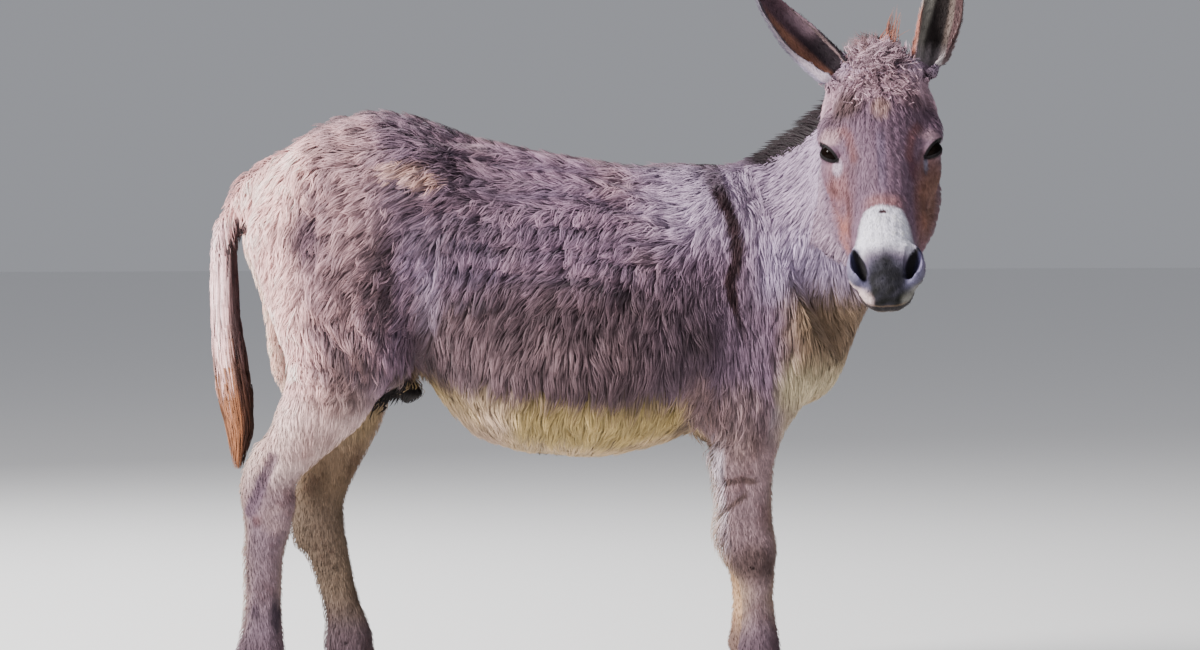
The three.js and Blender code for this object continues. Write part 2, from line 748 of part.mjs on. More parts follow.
function geometryOf(solid) {
  const mesh = solid.getMesh();
  const geometry = new THREE.BufferGeometry();
  geometry.setAttribute("position", new THREE.BufferAttribute(new Float32Array(mesh.vertProperties), 3));
  geometry.setIndex(new THREE.BufferAttribute(new Uint32Array(mesh.triVerts), 1));
  return geometry;
}

const largest = (solid) =>
  solid.decompose().reduce((best, piece) => (piece.volume() > best.volume() ? piece : best));

// ---------------------------------------------------------------- plane cuts that part the flesh into nodes

// A box on the side of a plane that its normal points to. It starts a little beyond the plane.
function slab(point, normal, start, size, length) {
  const box = new THREE.BoxGeometry(size[0], size[1], length);
  box.translate(0, 0, length / 2 + start);
  const aim = new THREE.Vector3(...normal).normalize();
  box.applyQuaternion(new THREE.Quaternion().setFromUnitVectors(new THREE.Vector3(0, 0, 1), aim));
  box.translate(...point);
  return solidOf(box);
}

// One cut: `far` is what lies beyond the plane within the box, `near` is the rest. A gap is left in between.
const cut = (point, normal, size = [1200, 1200], length = 1600) => ({
  far: (solid) => largest(solid.intersect(slab(point, normal, gap / 2, size, length))),
  near: (solid) => largest(solid.subtract(slab(point, normal, -gap / 2, size, length))),
});

const cuts = {
  neck: cut([372, -30, 905], [0.86, -0.28, 0.42]),
  head: cut([485, -236, 1125], [0, -0.952, -0.305]),
  tail: cut([-712, 0, 968], [-0.1, 0, -1], [70, 62], 500),
  sheath: cut([-414, 0, 652], [0, 0, -1], [154, 84], 120),
  front_right: cut([300, -135, 526], [0, 0, -1], [380, 230], 560),
  front_left: cut([300, 135, 526], [0, 0, -1], [380, 230], 560),
  hind_right: cut([-530, -154, 612], [0, 0, -1], [440, 224], 640),
  hind_left: cut([-530, 154, 612], [0, 0, -1], [440, 224], 640),
};

// ---------------------------------------------------------------- flesh, region by region

// The part of a field inside a box, with flat faces where the box clips it.
function regionOf(field, low, high, step, target) {
  const clipped = (x, y, z) =>
    Math.max(
      field(x, y, z),
      low[0] + step - x, x - high[0] + step,
      low[1] + step - y, y - high[1] + step,
      low[2] + step - z, z - high[2] + step,
    );
  return solidFrom(thin(relaxed(polygonise(clipped, low, high, step), clipped, 2), target));
}

// ---------------------------------------------------------------- shapes made of rings of points

// A closed body through rings of points. Each ring has the same even count; ladders close the ends.
function throughRings(rings) {
  const n = rings[0].length;
  const points = rings.flat().flatMap((p) => [p.x, p.y, p.z]);
  const triangles = [];
  for (let r = 0; r + 1 < rings.length; r++)
    for (let i = 0; i < n; i++) {
      const [a, b] = [r * n + i, r * n + ((i + 1) % n)];
      triangles.push(a, b, b + n, a, b + n, a + n);
    }
  const end = (rings.length - 1) * n;
  for (let i = 0; i + 1 < n / 2; i++) {
    const [a, b, c, d] = [i, i + 1, n - 2 - i, n - 1 - i];
    triangles.push(a, c, b, a, d, c, end + a, end + b, end + c, end + a, end + c, end + d);
  }
  return facingOut({ points, triangles });
}

// The solid of a closed mesh, whichever way round its triangles were given.
function facingOut({ points, triangles }) {
  let volume = 0;
  for (let t = 0; t < triangles.length; t += 3) {
    const [p, q, r] = [0, 1, 2].map((k) => new THREE.Vector3().fromArray(points, 3 * triangles[t + k]));
    volume += p.dot(q.cross(r));
  }
  return solidFrom({ points, triangles: volume < 0 ? triangles.reverse() : triangles });
}

const mix = (a, b, t) => a + t * (b - a);

// A value read from [place, value] pairs, smoothly.
function profile(pairs, u) {
  const i = Math.max(pairs.findIndex(([place]) => place >= u), 1) - 1;
  const [[p, a], [q, b]] = [pairs[i], pairs[i + 1]];
  return mix(a, b, THREE.MathUtils.smoothstep(u, p, q));
}

// ---------------------------------------------------------------- ears

const earWidth = [[0, 31], [0.2, 38], [0.48, 41], [0.72, 35], [0.89, 19], [1, 3.5]];
const earDepth = [[0, 27], [0.25, 27], [0.55, 20], [0.85, 11], [1, 3]];
const earWrap = [[0, 150], [0.2, 132], [0.45, 108], [0.8, 92], [1, 88]]; // degrees either side of its back
const earThickness = [[0, 7], [0.3, 4.6], [0.8, 3.4], [1, 1.6]];

// A cupped ear from root to tip. At the root its hollow faces `open`; it bends sideways by `bend` and turns
// about its length by `twist` degrees on the way. `space` is the ear with its hollow filled, which keeps hair
// out of it.
function ear(root, tip, open, bend, twist) {
  const from = new THREE.Vector3(...root);
  const axis = new THREE.Vector3(...tip).sub(from);
  const length = axis.length();
  axis.divideScalar(length);
  const rootFront = new THREE.Vector3(...open);
  rootFront.addScaledVector(axis, -rootFront.dot(axis)).normalize();
  const rings = [];
  const filled = [];
  const rows = 11;
  const across = 8;
  for (let r = 0; r <= rows; r++) {
    const u = r / rows;
    const turn = THREE.MathUtils.degToRad(twist * THREE.MathUtils.smoothstep(u, 0.25, 0.85));
    const front = rootFront.clone().applyAxisAngle(axis, turn);
    const side = front.clone().cross(axis);
    const centre = from.clone().addScaledVector(axis, length * u);
    const bow = Math.sin(Math.PI * u);
    centre.addScaledVector(side, bend * bow).addScaledVector(front, -12 * bow);
    const thick = profile(earThickness, u);
    const at = (inset, k) => {
      const angle = THREE.MathUtils.degToRad(profile(earWrap, u)) * (k / (across / 2 - 0.5) - 1);
      return centre
        .clone()
        .addScaledVector(side, (profile(earWidth, u) - inset) * Math.sin(angle))
        .addScaledVector(front, -(profile(earDepth, u) - inset) * Math.cos(angle));
    };
    const outer = Array.from({ length: across }, (_, k) => at(0, k));
    const inner = Array.from({ length: across }, (_, k) => at(thick, across - 1 - k));
    rings.push([...outer, ...inner]);
    filled.push(Array.from({ length: across }, (_, k) => at(-2, k)));
  }
  return {
    solid: throughRings(rings),
    space: throughRings(filled),
    axis: axis.toArray(),
    from: from.addScaledVector(axis, 34).toArray(),
  };
}

const ears = {
  right: ear([431, -330, 1215], [236, -306, 1434], [0.24, -0.94, 0.24], 6, 30),
  left: ear([563, -330, 1224], [620, -308, 1486], [-0.15, -1, 0.1], -14, 0),
};

// ---------------------------------------------------------------- eyes and lids

const headPoint = (side, [x, y, z]) => new THREE.Vector3(x, side * y, z).applyMatrix4(headFrame);
const headDirection = (side, [x, y, z]) => new THREE.Vector3(x, side * y, z).transformDirection(headFrame);

function ball(centre, radius) {
  const sphere = new THREE.IcosahedronGeometry(radius, 2);
  sphere.translate(centre.x, centre.y, centre.z);
  return solidOf(sphere);
}

// The almond of the opening on the eyeball: points round it, `swell` beyond the ball's surface.
function almond(side, swell, long = 24, high = 13.5, count = 20) {
  const centre = headPoint(side, eyeAt);
  const out = headDirection(side, eyeOut);
  const along = headDirection(side, eyeLong);
  const up = along.clone().cross(out).normalize().multiplyScalar(side);
  return Array.from({ length: count }, (_, i) => {
    const angle = (2 * Math.PI * i) / count;
    const s = Math.sin(angle);
    const a = long * Math.cos(angle);
    const b = high * Math.sign(s) * Math.abs(s) ** 1.25 * (s > 0 ? 1.1 : 0.9);
    const reach = eyeRadius + swell;
    const lift = Math.sqrt(Math.max(reach ** 2 - a ** 2 - b ** 2, 1));
    return centre.clone().addScaledVector(along, a).addScaledVector(up, b).addScaledVector(out, lift);
  });
}

// The rims of both lids: a tube round the opening.
function lids(side) {
  const path = almond(side, 1.5, 21, 13);
  const centre = headPoint(side, eyeAt);
  const rings = path.map((p, i) => {
    const before = path[(i + path.length - 1) % path.length];
    const ahead = path[(i + 1) % path.length].clone().sub(before).normalize();
    const out = p.clone().sub(centre).normalize();
    const across = ahead.clone().cross(out).normalize();
    return Array.from({ length: 6 }, (_, k) => {
      const angle = (Math.PI * k) / 3;
      const rim = p.clone().addScaledVector(out, 3.6 * Math.cos(angle));
      return rim.addScaledVector(across, 4.4 * Math.sin(angle));
    });
  });
  return loop(rings);
}

// Like throughRings, but the last ring joins the first.
function loop(rings) {
  const n = rings[0].length;
  const points = rings.flat().flatMap((p) => [p.x, p.y, p.z]);
  const triangles = [];
  const count = rings.length;
  for (let r = 0; r < count; r++)
    for (let i = 0; i < n; i++) {
      const j = (i + 1) % n;
      const next = ((r + 1) % count) * n;
      triangles.push(r * n + i, r * n + j, next + j, r * n + i, next + j, next + i);
    }
  return facingOut({ points, triangles });
}

// The way in through the lids, from well outside down to the ball.
function opening(side) {
  const inner = almond(side, -6, 17.5, 9.5);
  const centre = headPoint(side, eyeAt);
  const outer = almond(side, -6, 17.5, 9.5).map((p) => p.sub(centre).multiplyScalar(2.4).add(centre));
  return throughRings([inner, outer]);
}

// ---------------------------------------------------------------- the mouth's line

// A wedge let in between the lips, from one corner of the mouth round the front to the other.
function mouthLine() {
  const rings = [];
  for (let degrees = -112; degrees <= 112; degrees += 16) {
    const angle = THREE.MathUtils.degToRad(degrees);
    const height = -103 + 9 * (Math.abs(degrees) / 112) ** 2;
    const centre = new THREE.Vector3(410, 0, height);
    const way = new THREE.Vector3(Math.cos(angle), Math.sin(angle), 0);
    const reach = surfaceFrom(headLocal, centre, way).distanceTo(centre);
    const depth = mix(12, 4, (Math.abs(degrees) / 112) ** 3);
    const section = [[reach - depth, 0.5], [reach + 12, 3.2], [reach + 12, -3.2], [reach - depth, -0.5]];
    rings.push(
      section.map(([r, lift]) =>
        centre.clone().addScaledVector(way, r).add(new THREE.Vector3(0, 0, lift)).applyMatrix4(headFrame),
      ),
    );
  }
  return throughRings(rings);
}

// ---------------------------------------------------------------- hooves

// Where each leg's hoof stands, and the coronet's plane above it, which falls towards the heel.
const hoofPlaces = {
  front_right: [frontJoints.right.hoof, -100, 1],
  front_left: [frontJoints.left.hoof, 100, 1],
  hind_right: [hindJoints.right.hoof, -116, 0.94],
  hind_left: [hindJoints.left.hoof, 116, 0.94],
};
const coronetSlope = THREE.MathUtils.degToRad(20);
const coronetNormal = [Math.sin(coronetSlope), 0, -Math.cos(coronetSlope)];
const coronetAt = ([x, y]) => [x - 6, y, 58];

function hoof(place) {
  const [x, y, size] = place;
  const [cx, , cz] = coronetAt(place);
  const rings = [
    { rise: 0, long: 50 * size, wide: 42 * size, shift: 3 },
    { rise: 0.06, long: 51 * size, wide: 43 * size, shift: 3 },
    { rise: 0.9, long: 44 * size, wide: 38 * size, shift: -5 },
    { rise: 1, long: 42 * size, wide: 36 * size, shift: -6 },
  ].map(({ rise, long, wide, shift }) =>
    Array.from({ length: 18 }, (_, i) => {
      const angle = (2 * Math.PI * i) / 18;
      const heel = Math.cos(angle) < 0 ? 0.86 : 1;
      const px = x + shift + long * heel * Math.cos(angle);
      const py = y + wide * Math.sign(Math.sin(angle)) * Math.abs(Math.sin(angle)) ** 0.85;
      const top = cz + (px - cx) * Math.tan(coronetSlope) - gap / 2 / Math.cos(coronetSlope);
      return new THREE.Vector3(px, py, rise * top);
    }),
  );
  return throughRings(rings);
}

// ---------------------------------------------------------------- mane, forelock and switch

// From a point inside the flesh, the point where a direction leaves it.
function surfaceFrom(field, inside, direction) {
  let low = 0;
  let high = 0;
  const at = (t) => inside.clone().addScaledVector(direction, t);
  const value = (t) => field(...at(t).toArray());
  while (high < 400 && value(high) < 0) high += 6;
  low = high - 6;
  for (let i = 0; i < 12; i++) {
    const middle = (low + high) / 2;
    if (value(middle) < 0) low = middle;
    else high = middle;
  }
  return at(low);
}

// The crest of the neck: points from the withers to the poll, each with its way up and its way along.
const crest = (() => {
  const middles = [...neckStations.map((s) => s.at), [488, -312, 1150]].map((at) => new THREE.Vector3(...at));
  const path = new THREE.CatmullRomCurve3(middles, false, "centripetal");
  const from = 0.1;
  return Array.from({ length: 17 }, (_, i) => {
    const t = mix(from, 1, i / 16);
    const along = path.getTangent(t);
    const across = new THREE.Vector3(-along.y, along.x, 0).normalize();
    const up = along.clone().cross(across).normalize();
    const at = surfaceFrom(donkey, path.getPoint(t), up);
    return { at, up, along, across };
  });
})();

// The same draws every time, from 0 to 1.
let seed = 20260;
function draw(low = 0, high = 1) {
  seed = (seed * 16807) % 2147483647;
  return mix(low, high, seed / 2147483647);
}

// One flat lock of hair along a bend: broad near its root, thin at its tip. Its flat side faces `out`.
function lock(root, control, end, width, thick, out) {
  const bend = new THREE.QuadraticBezierCurve3(root, control, end);
  const shape = [[0, 0.8, 1], [0.42, 1, 0.8], [0.78, 0.7, 0.5], [1, 0.16, 0.2]];
  const rings = shape.map(([t, broad, deep]) => {
    const at = bend.getPoint(t);
    const side = bend.getTangent(t).cross(out).normalize();
    const face = side.clone().cross(bend.getTangent(t)).normalize();
    return [
      at.clone().addScaledVector(side, (width / 2) * broad),
      at.clone().addScaledVector(face, (thick / 2) * deep),
      at.clone().addScaledVector(side, (-width / 2) * broad),
      at.clone().addScaledVector(face, (-thick / 2) * deep),
    ];
  });
  return throughRings(rings);
}

const joined = (solids) => wasm.Manifold.union(solids);

const maneHeight = [[0, 16], [0.2, 28], [0.6, 37], [1, 38]];

// A low core along the crest, reaching less than half way up the hair.
function maneCore() {
  const rings = crest.map(({ at, up, across }, i) => {
    const height = 0.42 * profile(maneHeight, i / (crest.length - 1));
    const section = [[12, -16], [9, 4], [4, height], [-4, height], [-9, 4], [-12, -16]];
    return section.map(([a, b]) => at.clone().addScaledVector(across, a).addScaledVector(up, b));
  });
  return throughRings(rings);
}

function mane() {
  const count = 34;
  const locks = [maneCore()];
  for (let i = 0; i < count; i++) {
    const place = ((i + draw(0.2, 0.8)) / count) * (crest.length - 1);
    const { at, up, along, across } = crest[Math.round(place)];
    const lean = i % 2 ? 1 : -1;
    const height = profile(maneHeight, place / (crest.length - 1)) * draw(0.9, 1.15);
    const shift = (place - Math.round(place)) * 30;
    const foot = at.clone().addScaledVector(along, shift).addScaledVector(across, 5 * lean);
    const root = foot.clone().addScaledVector(up, -13);
    const control = foot.clone().addScaledVector(up, 0.6 * height);
    const end = foot
      .clone()
      .addScaledVector(up, height)
      .addScaledVector(across, lean * draw(1, 8))
      .addScaledVector(along, draw(-30, -8));
    locks.push(lock(root, control, end, draw(30, 38), 9, across));
  }
  return joined(locks);
}

// The shaggy tuft between the ears. Its locks stand in rows across the poll, fan to both sides and end in
// uneven tips; the rows behind reach higher.
const forelockRows = [
  { from: 36, height: 52, forward: 0.4, places: [-50, -34, -17, 0, 17, 34, 50] },
  { from: 16, height: 64, forward: 0.15, places: [-50, -33, -16, 2, 18, 34, 48] },
  { from: 0, height: 76, forward: 0, places: [-34, -14, 26] },
  { from: 4, height: 98, forward: 0, places: [6, 19] },
];

function forelock() {
  const locks = [];
  const up = new THREE.Vector3(0, 0, 1);
  const face = headDirection(1, [1, 0, 0.6]);
  for (const { from, height, forward, places } of forelockRows)
    for (const place of places) {
      const aim = headDirection(1, [-0.85, 0, 0.5]);
      const foot = surfaceFrom(headInPlace, headPoint(1, [from + 26, place, -46]), aim);
      const tall = height * draw(0.86, 1.14);
      const outward = new THREE.Vector3(place * 0.008 + draw(-0.06, 0.22), 0, 0);
      const way = up.clone().addScaledVector(face, forward).add(outward).normalize();
      const end = foot.clone().addScaledVector(way, tall);
      const sway = new THREE.Vector3(draw(-12, 12), 0, 0);
      const control = foot.clone().addScaledVector(up, tall * 0.55).addScaledVector(face, 4).add(sway);
      locks.push(lock(foot.clone().addScaledVector(up, -16), control, end, draw(24, 31), 10, face));
    }
  return locks;
}

const switchStations = [
  { at: [-720, -6, 776], deep: 25, wide: 22 },
  { at: [-712, -8, 700], deep: 33, wide: 26 },
  { at: [-702, -8, 630], deep: 35, wide: 28 },
  { at: [-692, -8, 560], deep: 26, wide: 22 },
  { at: [-696, -8, 484], deep: 4, wide: 4 },
];

// The long hair at the tail's end: a core under tiers of locks that hang along it and close to a point.
function switchHair() {
  const core = switchStations.map(({ at, deep, wide }, i) => {
    const share = [0.92, 0.7, 0.55, 0.5, 0.9][i];
    return { at: i < 4 ? at : [-694, -8, 528], deep: deep * share, wide: wide * share };
  });
  const path = new THREE.CatmullRomCurve3(switchStations.map((s) => new THREE.Vector3(...s.at)));
  const low = [-770, -60, 450];
  const high = [-640, 50, 810];
  const solids = [regionOf(chain(core, { side: [0, 1, 0] }), low, high, 7, 130)];
  const tiers = [
    { from: 0.05, to: 0.62, count: 7, reach: 0.95 },
    { from: 0.28, to: 0.84, count: 7, reach: 1 },
    { from: 0.5, to: 0.995, count: 6, reach: 0.9 },
  ];
  for (const { from, to, count, reach } of tiers)
    for (let i = 0; i < count; i++) {
      const angle = (2 * Math.PI * (i + draw(-0.25, 0.25))) / count;
      const out = new THREE.Vector3(Math.cos(angle), Math.sin(angle), 0);
      const place = (t, share) => {
        const s = Math.min(t, 1) * (switchStations.length - 1);
        const k = Math.min(Math.floor(s), switchStations.length - 2);
        const [a, b] = [switchStations[k], switchStations[k + 1]];
        const [deep, wide] = [mix(a.deep, b.deep, s - k), mix(a.wide, b.wide, s - k)];
        const spread = new THREE.Vector3(out.x * deep, out.y * wide, 0);
        return path.getPoint(Math.min(t, 1)).addScaledVector(spread, share);
      };
      const end = place(to + draw(-0.05, 0.005), 0.7);
      solids.push(lock(place(from, 0.4), place((from + to) / 2, 1.25 * reach), end, draw(23, 29), 9, out));
    }
  return joined(solids);
}

// ---------------------------------------------------------------- the nodes

const trunkRegion = regionOf(donkey, [-780, -270, 470], [620, 270, 1240], 15, 2700);
const neckRegion = regionOf(donkey, [150, -440, 650], [650, 170, 1330], 13, 1900);
const tailRegion = regionOf(dock, [-780, -50, 710], [-580, 50, 1100], 6.5, 420);
const sheathRegion = regionOf(donkey, [-500, -64, 560], [-290, 64, 760], 7, 700);
const legRegion = {
  front_right: [[170, -200, 8], [420, -24, 570], 8.5, 740],
  front_left: [[170, 24, 8], [420, 200, 570], 8.5, 740],
  hind_right: [[-780, -230, 8], [-330, -30, 650], 9.5, 900],
  hind_left: [[-780, 30, 8], [-330, 230, 650], 9.5, 900],
};

const headBox = [[-90, -150, -290], [520, 150, 60]];
const donkeyAtHead = (x, y, z) => {
  const e = headFrame.elements;
  return donkey(
    e[0] * x + e[4] * y + e[8] * z + e[12],
    e[1] * x + e[5] * y + e[9] * z + e[13],
    e[2] * x + e[6] * y + e[10] * z + e[14],
  );
};
const headRegion = regionOf(donkeyAtHead, ...headBox, 6, 2700).transform(headFrame.elements.slice());

const nodes = {};
const switchCut = cut([-721, -6, 764], [0.06, 0, -1], [120, 120], 400);

nodes.tail = switchCut.near(cuts.tail.far(tailRegion));
nodes.tail_switch = switchCut.far(switchHair());
for (const [name, [low, high, step, target]] of Object.entries(legRegion)) {
  const whole = regionOf(donkey, low, high, step, target);
  const coronet = cut(coronetAt(hoofPlaces[name]), coronetNormal, [300, 150], 200);
  nodes[`leg_${name}`] = coronet.near(cuts[name].far(whole));
  nodes[`hoof_${name}`] = hoof(hoofPlaces[name]);
}
nodes.sheath = cuts.sheath.far(sheathRegion);
let torso = cuts.neck.near(trunkRegion);
for (const name of ["tail", "sheath", "front_right", "front_left", "hind_right", "hind_left"])
  torso = cuts[name].near(torso);
nodes.torso = torso;
nodes.neck = cuts.head.near(cuts.neck.far(neckRegion.add(mane())));

let head = cuts.head.far(headRegion);
let crown = joined(forelock());
for (const [name, side] of [["right", -1], ["left", 1]]) {
  const { solid, space, axis, from } = ears[name];
  const earCut = cut(from, axis, [150, 110], 330);
  head = earCut.near(head.add(solid));
  crown = crown.subtract(space);
  nodes[`ear_${name}`] = earCut.far(solid);
  head = head.add(lids(side)).subtract(opening(side)).subtract(ball(headPoint(side, eyeAt), eyeRadius + gap));
  nodes[`eye_${name}`] = ball(headPoint(side, eyeAt), eyeRadius);
}
nodes.head = largest(head.add(crown).subtract(mouthLine()));

const colours = {
  torso: "#8a7a78", neck: "#92837f", head: "#8b7672", ear: "#6b5a57", eye: "#1b1411", tail: "#8a7b78",
  tail_switch: "#7a4b33", leg: "#9d8c82", hoof: "#4b433d", sheath: "#3b3031",
};

// The origin is at the middle of the whole, on the ground.
const extent = new THREE.Box3();
for (const solid of Object.values(nodes)) {
  const { min, max } = solid.boundingBox();
  extent.union(new THREE.Box3(new THREE.Vector3(...min), new THREE.Vector3(...max)));
}
const middle = extent.getCenter(new THREE.Vector3()).setZ(extent.min.z);

const group = new THREE.Group();
for (const [name, solid] of Object.entries(nodes)) {
  const colour = colours[name] ?? colours[name.split("_")[0]];
  const geometry = geometryOf(solid.translate(-middle.x, -middle.y, -middle.z));
  const mesh = new THREE.Mesh(geometry, new THREE.MeshStandardMaterial({ color: colour, roughness: 0.9 }));
  mesh.name = name;
  group.add(mesh);
}

export default group;
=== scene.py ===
# %% [markdown]
# # A standing donkey in its winter coat
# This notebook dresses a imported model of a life-size donkey, as a museum would dress its model: a skin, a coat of
# tufts laid over it, eyes, hooves and long hair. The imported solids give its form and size.

import json
import math

import bpy
import numpy as np
from mathutils import Matrix, Vector
from mathutils.bvhtree import BVHTree
from mathutils.kdtree import KDTree


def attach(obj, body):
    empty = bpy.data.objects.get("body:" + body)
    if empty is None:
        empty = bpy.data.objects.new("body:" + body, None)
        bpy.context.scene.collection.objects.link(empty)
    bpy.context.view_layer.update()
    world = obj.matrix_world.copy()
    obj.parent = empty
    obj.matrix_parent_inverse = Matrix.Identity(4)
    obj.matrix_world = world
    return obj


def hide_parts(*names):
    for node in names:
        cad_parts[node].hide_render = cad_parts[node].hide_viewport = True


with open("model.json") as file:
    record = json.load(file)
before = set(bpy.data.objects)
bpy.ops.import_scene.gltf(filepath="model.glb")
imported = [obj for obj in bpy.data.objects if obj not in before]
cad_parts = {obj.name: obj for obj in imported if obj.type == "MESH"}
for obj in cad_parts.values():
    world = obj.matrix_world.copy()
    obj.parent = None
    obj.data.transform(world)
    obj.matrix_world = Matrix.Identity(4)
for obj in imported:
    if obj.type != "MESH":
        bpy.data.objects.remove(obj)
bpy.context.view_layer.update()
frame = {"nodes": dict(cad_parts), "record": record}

# %% [markdown]
# ## The camera
# The donkey is looked at from about the height of its withers and from some way off, which keeps the near legs
# from growing, and a long lens fills the picture from there. The camera is aimed by pointing its own -Z axis at a
# target, which is easier to read than three angles.

# %% Camera
camera_place = Vector((-1.1700, -9.7873, 1.150))
camera_target = Vector((0.0487, 0.1382, 0.757))
bpy.ops.object.camera_add(location=camera_place)
camera = bpy.context.object
camera.rotation_euler = (camera_target - camera_place).to_track_quat("-Z", "Y").to_euler()
camera.data.sensor_width = 36
camera.data.lens = 156.1
bpy.context.scene.camera = camera
print("camera", round((camera_target - camera_place).length, 2), "m from its target")

# %% [markdown]
# ## Two sets of coordinates
# Places on the body are easiest to give from a point on the ground under the withers, on the animal's own
# midline. The sole of a near forefoot has a known place in both sets of numbers, so it ties them together. The
# head is turned and hangs, so it has its own set: X from the poll down the face, Y to its left, Z out of the
# forehead. A matrix for each keeps every later number short.

# %% Body and head coordinates
sole = next(m for m in frame["record"]["mounts"] if m["name"] == "sole_front_right")["pos_m"]
origin = np.array([sole[0] - 0.3365, sole[1] + 0.1, 0.0])
poll = np.array([0.481, -0.330, 1.268])
facing, pitch, roll = (math.radians(a) for a in (-99.5, 61, 2.3))
head_turn = np.array(
    Matrix.Rotation(roll, 3, Vector((math.cos(facing), math.sin(facing), 0)))
    @ Matrix.Rotation(facing, 3, "Z")
    @ Matrix.Rotation(pitch, 3, "Y")
)


def to_head(points):
    """Row-frame points in the head's own coordinates."""
    return (points - origin - poll) @ head_turn


def from_head(points):
    return np.asarray(points) @ head_turn.T + poll + origin


print("midline at y =", round(origin[1], 4), " poll at", np.round(poll + origin, 3))

# %% [markdown]
# ## Small helpers
# An operator acts on whatever is selected, so `only` selects the right things first. `share` is a smooth step
# from 0 to 1 between two values, which mixes colours and lengths without a hard edge, and `ripple` is a smooth
# random field, the sum of a few slanting waves. It is steady from run to run because its draws are seeded.


# %% Helpers
def only(*things):
    bpy.ops.object.select_all(action="DESELECT")
    for thing in things:
        thing.select_set(True)
    bpy.context.view_layer.objects.active = things[0]


def share(value, start, end):
    t = np.clip((value - start) / (end - start), 0, 1)
    return t * t * (3 - 2 * t)


def ripple(points, size, seed, waves=9):
    """A smooth random field from about -1 to 1, whose swells are about `size` metres across."""
    draw = np.random.default_rng(seed)
    ways = draw.normal(size=(waves, 3))
    ways *= (2 * np.pi / size) * draw.uniform(0.35, 0.75, (waves, 1)) / np.linalg.norm(ways, axis=1, keepdims=True)
    return np.sin(points @ ways.T + draw.uniform(0, 6.28, waves)).sum(1) * (1.5 / waves)


def spot_line(value, middle, half):
    """1 at `middle`, falling smoothly to 0 at `half` either side."""
    return share(np.abs(value - middle), half, 0)


def spot(points, centre, radius, soft=0.5):
    """1 inside a ball, falling to 0 outside it."""
    distance = np.linalg.norm((points - centre) / radius, axis=1)
    return share(distance, 1 + soft, 1 - soft)


def unit(vectors):
    return vectors / np.maximum(np.linalg.norm(vectors, axis=-1, keepdims=True), 1e-9)


def tone(red, green, blue):
    """A colour as a picker shows it, turned into the linear values that Blender mixes."""
    c = np.array([red, green, blue]) / 255
    return np.where(c <= 0.04045, c / 12.92, ((c + 0.055) / 1.055) ** 2.4)


print("helpers ready")

# %% [markdown]
# ## The skin
# Under the coat the body, neck, head, legs and tail are one skin, with no seam. Copies of the flesh solids are
# joined and remeshed on a grid, which welds them where they meet. The head needs a fine grid and the body would
# be needlessly heavy on it, so each gets its own, both are cut across the neck by the same plane, and their two
# rims are bridged. The solids' locks of hair come off, because the coat brings its own: the forelock is cut
# away here, and the mane is smoothed down later. The ears are thin, so they are fattened before the remesh.


# %% Copies of the flesh solids
def flesh_copy(name):
    only(frame["nodes"][name])
    bpy.ops.object.duplicate()
    copy = bpy.context.object
    copy.parent = None
    for key in list(copy.keys()):
        del copy[key]
    copy.data.materials.clear()
    bpy.ops.object.mode_set(mode="EDIT")
    bpy.ops.mesh.select_all(action="SELECT")
    bpy.ops.mesh.remove_doubles(threshold=1e-5)
    if name == "head":  # takes the forelock off, level with the poll
        crown = Vector(origin + [0.481, -0.330, 1.272])
        bpy.ops.mesh.bisect(plane_co=crown, plane_no=(0, 0, 1), use_fill=True, clear_outer=True)
    if name.startswith("ear"):
        bpy.ops.mesh.subdivide(smoothness=1)
        bpy.ops.transform.shrink_fatten(value=0.0014)
    bpy.ops.object.mode_set(mode="OBJECT")
    return copy


neck_plane = Vector(origin + [0.478, -0.200, 1.066])
neck_way = Vector((0.10, -0.82, 0.56)).normalized()

eye_places = [np.array([0.174, side * 0.090, -0.051]) for side in (-1, 1)]
eye_radius, lid_radius = 0.0219, 0.0248  # of the eye, and of the ball that its lids are cut from
lid_reach = 0.0262  # skin no farther than this from an eye's middle is lid, and has no hair
half_opening = 0.0235  # half the length of the opening between the lids


def lid_ball(place):
    """A ball a little larger than the eye, which closes its socket: the lids are cut from it later."""
    bpy.ops.mesh.primitive_uv_sphere_add(segments=32, ring_count=24, radius=lid_radius, location=from_head(place))
    return bpy.context.object


def remeshed(names, grid, keep_head):
    """One closed skin of these solids, then open at the neck plane on the side that is dropped."""
    copies = [flesh_copy(name) for name in names] + [lid_ball(place) for place in eye_places]
    only(*copies)
    bpy.ops.object.join()
    whole = bpy.context.object
    whole.data.remesh_voxel_size = grid
    bpy.ops.object.voxel_remesh()
    bpy.ops.object.mode_set(mode="EDIT")
    bpy.ops.mesh.select_all(action="SELECT")
    bpy.ops.mesh.bisect(plane_co=neck_plane, plane_no=neck_way, clear_outer=not keep_head, clear_inner=keep_head)
    bpy.ops.mesh.select_all(action="SELECT")
    bpy.ops.mesh.fill_holes(sides=24)  # where the plane met a lock of the mane
    bpy.ops.object.mode_set(mode="OBJECT")
    print("grid", grid, "m:", len(whole.data.polygons), "faces")
    return whole


flesh = [n for n in frame["nodes"] if not n.startswith(("hoof", "eye", "tail_switch"))]
body_skin = remeshed([n for n in flesh if not n.startswith("ear")], 0.0095, keep_head=False)
head_skin = remeshed(["neck", "head", "ear_right", "ear_left"], 0.0038, keep_head=True)

